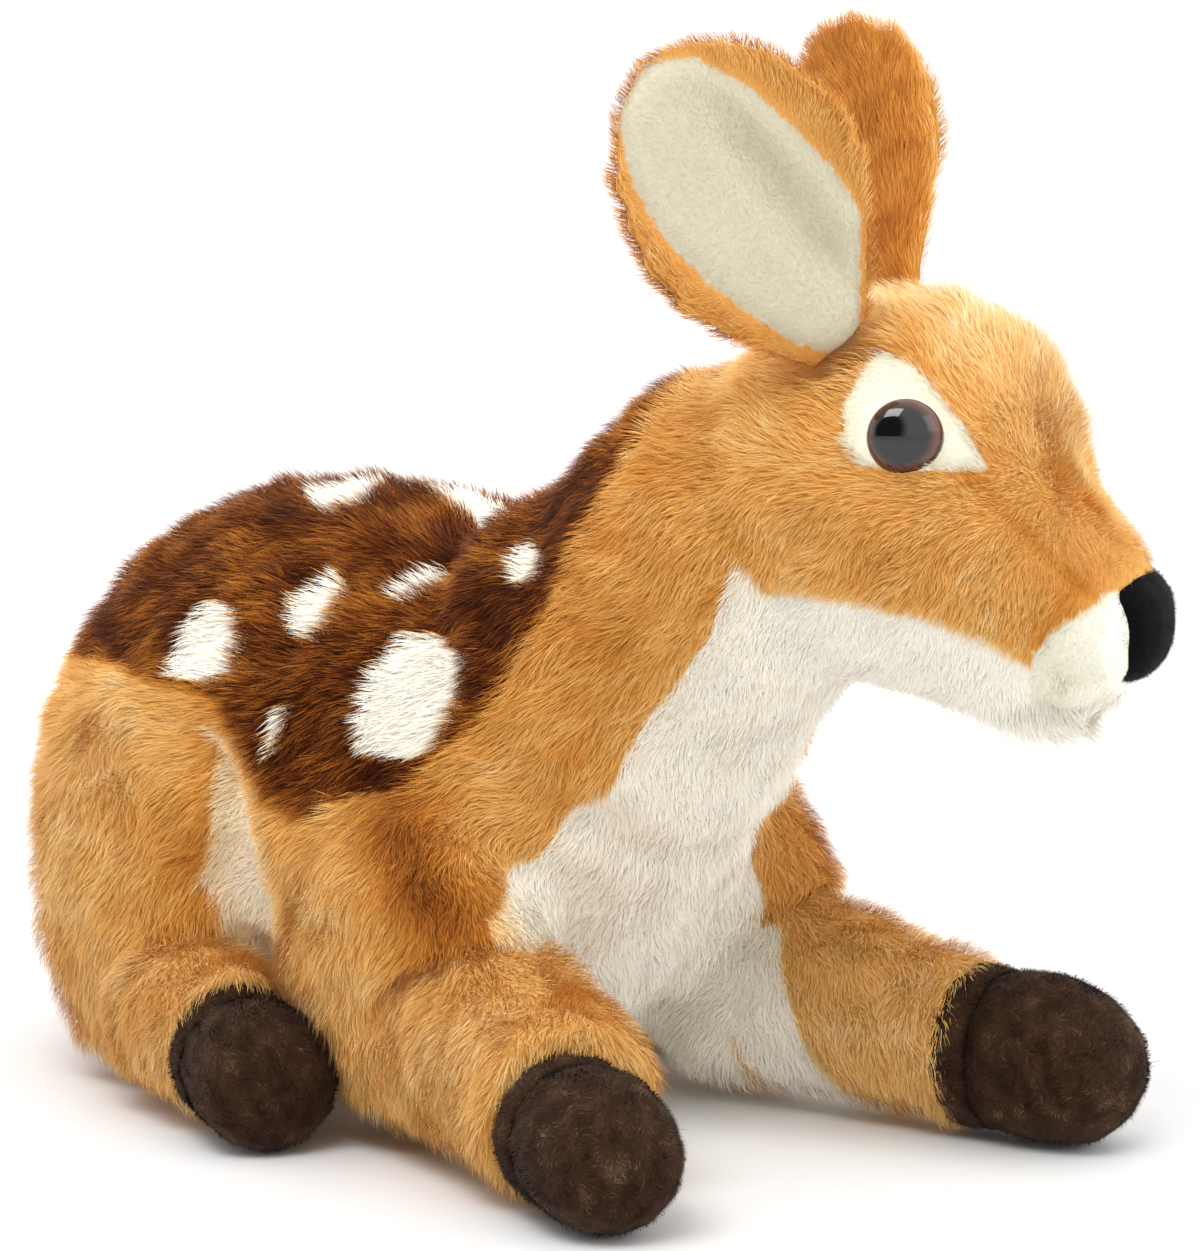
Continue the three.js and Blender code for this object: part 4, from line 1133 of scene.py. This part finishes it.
def makeLeg(owner, nodes, sign, pivot, way, stretch):
    skin = makeSkin(nodes, legShape["voxel"], legShape["rounds"], stretch=stretch)
    smooth, normals = skin["smooth"], skin["normals"]
    skin["comb"] = fallingComb(skin, way, legShape["forwards"])
    inward = np.cross((0, 0, 1), way) * -sign
    along = (smooth - pivot) @ way
    above, beside = fuller.get(owner, (0, 0))
    swell = above * climb(along, *legShape["root"]) * np.clip(normals[:, 2], 0, 1)
    inner = np.clip(normals @ inward + legShape["insideTilt"] * normals[:, 2], 0, 1)
    inner = beside * inner * climb(along, *legShape["inside"])
    smooth = smooth + np.outer(swell, (0, 0, 1)) + np.outer(inner, inward)
    more = sleeve["bottom"] + sleeve["top"] * climb(smooth[:, 2], 0, sleeve["height"])
    more *= climb(along - along.max(), -sleeve["over"], sleeve["over"]) ** 2
    skin["smooth"] = smooth + np.outer(more, way)
    refaced(skin)
    skin["tone"][:] = legShape["tone"]
    startZones(skin)
    if owner.startswith("foreleg"):
        axes = np.array([way, inward, (0, 0, 1)])
        addZone(skin, dict(lining, kind="white", origin=pivot * (1, 1, 0), axes=axes))
    return skin


def makeHoof(hoofName, part, side, pivot, way, stretch):
    nodes = [f"{hoofName}_{part}_{side}"]
    rounds = hoofShape["rounds"]
    skin = makeSkin(nodes, hoofShape["voxel"], rounds, kind="felt", stretch=stretch)
    toe = centreOf(f"{hoofName}_cap_{side}") * (1, 1, 0) + way * hoofShape["toe"]
    smooth = toe + (skin["smooth"] - toe) * snug.get(f"{hoofName}_{side}", 1)
    skin["comb"] = fallingComb(skin, way, hoofShape["forwards"])
    reach = (smooth - pivot) @ way
    edge = reach - reach.min() if part == "cap" else reach.max() - reach
    groove = np.exp(-((edge / hoofShape["groove"]) ** 2))
    if part == "cap":
        smooth = smooth - hoofShape["inside"] * np.outer(groove, way)
    skin["smooth"] = smooth
    skin["sink"] = hoofShape["sink"] * groove
    # Painted shade darkens the felt in the groove between cuff and cap
    skin["tone"] = skin["tone"] - hoofShape["dark"] * groove
    skin["tone"] += hoofShape["cloud"] * waves(smooth, hoofShape["cloudLength"], 11)
    startZones(skin)
    return skin


for body, sleeves, hoofName in (
    ("foreleg", ("forearm", "forearm_lining"), "fore_hoof"),
    ("hind_leg", ("hind_shank",), "hind_hoof"),
):
    for side, sign in sides.items():
        owner = f"{body}_{side}"
        nodes = [f"{part}_{side}" for part in sleeves]
        pivot = pivotOf(owner)
        way = unit((centreOf(f"{hoofName}_cap_{side}") - pivot) * (1, 1, 0))
        stretch = (pivot, way, longer.get(owner, 1))
        skin = makeLeg(owner, nodes, sign, pivot, way, stretch)
        look = dict(coatLook, seed=20 + sign + len(body))
        dress(skin, owner, backing, look, owner)
        for part in ("cuff", "cap"):
            skin = makeHoof(hoofName, part, side, pivot, way, stretch)
            look = dict(hoofLook, seed=40 + sign + 3 * len(part) + len(owner))
            dress(skin, skin["nodes"][0], feltCloth, look, owner)


# Ears

earLook = dict(
    coatLook,
    pileSteps=(1, 2, 5),
    countSteps=(4.5, 5, 5),
    swirl=0.15,
    swirlLength=20,
    curlLength=8,
    stray=0.12,
    lift=0.55,
    lengths=(0.7, 1.05),
    width=0.11,
    ripple=0.1,
)
earShape = {
    "lining": [
        (-12, 69), (-6, 72), (0, 72), (7, 67), (12, 57), (15, 44), (17, 31), (17, 20),
        (11, 10), (4, -2), (-2, -2), (-8, 8), (-13, 22), (-16, 33), (-18, 45), (-17, 57),
    ],
    "valley": [(8, 18, 32, 50, 66), (6, 7, 6, 5, 3)],  # heights, and how far across there
    "depth": 4,
    "spread": 3.8,
    "foot": (4, 14),
    "tip": (70, -22),
    "front": (-0.1, 0.5),  # by the cosine to the way that the lining faces
    "dipRounds": 5,
    "splay": (20, 0.9),
    "half": 18,
    "rimPile": 0.15,
    # the back of the ear is painted darker where it turns away: painted shade
    "back": (-0.65, -0.3),
    "shadedBackTone": 0.37,
}
for side, sign in sides.items():
    nodes = [f"ear_back_{side}", f"ear_lining_{side}"]
    skin = makeSkin(nodes, 1.2, 10, rise=0.25, mends=1)
    pivot = pivotOf(f"ear_{side}")
    across = unit(np.array(jointOf(f"ear_{side}")["axis"]))
    up = centreOf(nodes[0]) - pivot
    facing = unit(np.cross(across, up))
    if facing @ (centreOf(nodes[1]) - centreOf(nodes[0])) < 0:
        facing = -facing
    up = unit(np.cross(facing, across))
    up = up * np.sign(up @ (centreOf(nodes[0]) - pivot))
    across = np.cross(up, facing) * -sign
    axes = np.array([facing, across, up])
    _, y, z = ((skin["smooth"] - pivot) @ axes.T).T
    line = np.interp(z, *earShape["valley"])
    dip = np.exp(-(((y - line) / earShape["spread"]) ** 2))
    dip *= climb(z, *earShape["foot"]) * climb(z, *earShape["tip"])
    front = climb(dots(skin["normals"], facing), *earShape["front"])
    dip = dip[:, None] * front * earShape["depth"]
    dip = smoothed(dip, skin["edges"], earShape["dipRounds"])
    skin["smooth"] = skin["smooth"] - facing * dip
    refaced(skin)
    half, most = earShape["splay"]
    skin["comb"] = up + np.outer(np.clip(y / half, -most, most), across)
    rim = climb(np.abs(y), 0, earShape["half"]) ** 2
    skin["pile"] = skin["pile"] * (1 + earShape["rimPile"] * rim)
    # Faces that turn away from the lining's side get painted shade
    turned = climb(dots(skin["normals"], facing)[:, 0], *earShape["back"])
    skin["tone"] = skin["tone"] + (earShape["shadedBackTone"] - skin["tone"]) * turned
    startZones(skin)
    outline = [(2, y, z) for y, z in earShape["lining"]]
    zone = patch("velour", *outline, tone=0.46, pile=1.1, soft=0.5, seam=True)
    addZone(skin, dict(zone, origin=pivot, axes=axes, facing=facing))
    look = dict(earLook, seed=60 + sign)
    dress(skin, f"ear_{side}", backing, look, f"ear_{side}")


# Tail

tailSkin = makeSkin(["tail_top", "tail_underside"], 1.3, 10)
underTail = owned(tailSkin, "tail_under")
tailSkin["kind"][underTail] = kinds.index("white")
tailSkin["tone"][underTail] = tones["white"]
startZones(tailSkin)
dress(tailSkin, "tail", backing, dict(coatLook, seed=70), "tail")


# Nose

noseSkin = makeSkin(["nose"], 0.9, 6, kind="black")
local = headFrom(noseSkin["smooth"])
high, low = local.max(0), local.min(0)
local = (local - (high + low) / 2) / ((high - low) / 2)
squarer = np.sign(local) * np.abs(local) ** noseShape["power"]
squarer[:, 1] *= 1 + noseShape["flare"] * squarer[:, 2]  # wider above
local = squarer * noseShape["reach"] + noseShape["centre"]
noseSkin["smooth"] = local @ headAxes + headPlace["origin"]
noseSkin["lost"][:] = 0
refaced(noseSkin)
startZones(noseSkin)
noseLook = dict(hoofLook, seed=80, countSteps=(7, 7), width=0.14, toneNoise=0.04, ripple=0)
dress(noseSkin, "nose", noseCloth, noseLook, "head")


# Eyes

eyeLook = {
    "crown": 3,  # depth of the solid that its middle is read from
    "pupil": (1.1, -0.8),
    "forward": 1.2,
    "radius": 7.5,
    "dome": 4.4,
    "skirt": 2.5,
    "foot": (0.97, 0.8, 0.6),  # radius and depth of the skirt's rim, and radius under it
    "around": 56,
    "rings": 16,
}


def eyeMaterial():
    material, shader = newMaterial("eye", 0.08, 0, 0.5)
    setInputs(shader, {"Coat Weight": 0.4, "Coat Roughness": 0.03})
    tree = material.node_tree
    ring = addNode(tree, "Attribute", attribute_name="ring")
    ramp = addNode(tree, "ValToRGB")
    stops = [(0.0, (4, 3, 4)), (1.0, (78, 48, 34)), (0.68, (4, 3, 4)), (0.74, (52, 30, 22))]
    fillRamp(ramp, stops + [(0.92, (92, 58, 42))])
    join(tree, (ring, "Fac", ramp, 0), (ramp, "Color", shader, "Base Color"))
    return material


glossy = eyeMaterial()
around, rings = eyeLook["around"], eyeLook["rings"]
radius, dome, skirt = eyeLook["radius"], eyeLook["dome"], eyeLook["skirt"]
for side, sign in sides.items():
    rough = nodeArrays([f"eye_{side}"])[0]
    axis = unit(centreOf(f"eye_{side}") - centreOf(f"eye_washer_{side}"))
    height = rough @ axis
    crown = rough[height > height.max() - eyeLook["crown"]].mean(0)
    middle = crown + axis * (height.max() - crown @ axis - dome)
    a = unit(np.cross(axis, (0, 0, 1)))
    b = np.cross(axis, a)
    middle = middle + a * sign * eyeLook["forward"]
    angles = np.arange(1, rings + 1) / rings * math.pi / 2
    profile = [(math.sin(t), math.cos(t) * dome) for t in angles]
    wide, deep, narrow = eyeLook["foot"]
    profile += [(wide, -skirt * deep), (narrow, -skirt)]
    turns = 2 * math.pi * np.arange(around) / around
    circle = np.cos(turns)[:, None] * a + np.sin(turns)[:, None] * b
    layers = [middle + circle * r * radius + axis * h for r, h in profile]
    top, bottom = len(profile) * around, len(profile) * around + 1
    ends = [middle + axis * dome, middle - axis * skirt]
    corners, sizes = [], []
    for k in range(around):
        n = (k + 1) % around
        corners += [top, k, n]
        sizes.append(3)
        for ring in range(len(profile) - 1):
            low, high = ring * around, (ring + 1) * around
            corners += [low + k, high + k, high + n, low + n]
            sizes.append(4)
        last = (len(profile) - 1) * around
        corners += [last + k, bottom, last + n]
        sizes.append(3)
    points = np.concatenate(layers + [ends])
    eye = meshObject(f"button_eye_{side}", points, np.array(corners), np.array(sizes))
    back, down = eyeLook["pupil"]
    aside = (points - middle + a * sign * back - b * down) @ np.array([a, b]).T
    store(eye, "ring", np.linalg.norm(aside, axis=1) / radius)
    eye.data.materials.append(glossy)
    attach(eye, "head")
    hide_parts(f"eye_{side}")
print("face made")


# Studio

def stageMaterial():
    material, shader = newMaterial("floor", 0.6, 0)
    tree = material.node_tree
    place = addNode(tree, "TexCoord")
    cloud = addNode(tree, "TexNoise", {"Scale": 2.5})
    tone = addNode(tree, "MapRange", {"To Min": 0.76, "To Max": 0.8})
    away = addNode(tree, "VectorMath", operation="LENGTH")
    # The floor is painted brighter farther out: painted light of a lit backdrop that fades to
    # white
    litFarOut = addNode(tree, "MapRange", {"From Min": 0.3, "From Max": 3, "To Max": 0.16})
    total = addNode(tree, "Math", operation="ADD")
    join(
        tree,
        (place, "Object", cloud, "Vector"),
        (place, "Object", away, 0),
        (away, "Value", litFarOut, "Value"),
        (cloud, "Fac", tone, "Value"),
        (tone, "Result", total, 0),
        (litFarOut, "Result", total, 1),
        (total, 0, shader, "Base Color"),
    )
    return material


floorSize = 30 * metre
floorPoints = np.array([(-1, -1, 0), (1, -1, 0), (1, 1, 0), (-1, 1, 0)]) * floorSize
floor = meshObject("floor", floorPoints, np.arange(4), np.array([4]))
floor.data.materials.append(stageMaterial())

scene.view_settings.view_transform = "Standard"
scene.view_settings.look = "None"
world = bpy.data.worlds.new("studio")
scene.world = world
world.use_nodes = True
sky = world.node_tree
background = sky.nodes["Background"]
setInputs(background, {"Color": (1, 1, 1, 1)})
wall = {  # the dark side of the room, which the eye mirrors
    "towards": (0.15, -0.97, 0.2),
    "light": {"From Min": 0.7, "From Max": 0.86, "To Min": 1.42, "To Max": 0.15},
}
heading = addNode(sky, "TexCoord")
facingWall = addNode(sky, "VectorMath", {1: wall["towards"]}, operation="DOT_PRODUCT")
strength = addNode(sky, "MapRange", wall["light"])
join(
    sky,
    (heading, "Generated", facingWall, 0),
    (facingWall, "Value", strength, "Value"),
    (strength, "Result", background, "Strength"),
)


def aimed(thing, place, target):
    thing.location = place
    way = Vector(target) - Vector(place)
    thing.rotation_euler = way.to_track_quat("-Z", "Y").to_euler()


# Places and sizes of the lights and the camera are in metres
lights = {
    "key": ((0.25, -0.75, 1.25), {"size": 0.9, "size_y": 0.6, "energy": 11}),
    "side": ((1.4, 0.5, 0.7), {"size": 0.8, "size_y": 0.8, "energy": 2}),
}
for name, (place, values) in lights.items():
    data = bpy.data.lights.new(name, "AREA")
    data.shape = "RECTANGLE"
    setAll(data, values)
    aimed(placed(name, data), place, (0.06, 0, 0.08))

view = {"place": (0.8268, -0.7968, 0.2699), "target": (0.0173, 0.0763, 0.0887)}
lens = {"sensor_fit": "VERTICAL", "sensor_width": 36, "sensor_height": 36, "lens": 153.5}
cameraData = bpy.data.cameras.new("camera")
setAll(cameraData, dict(lens, clip_end=100))
scene.camera = placed("camera", cameraData)
aimed(scene.camera, view["place"], view["target"])
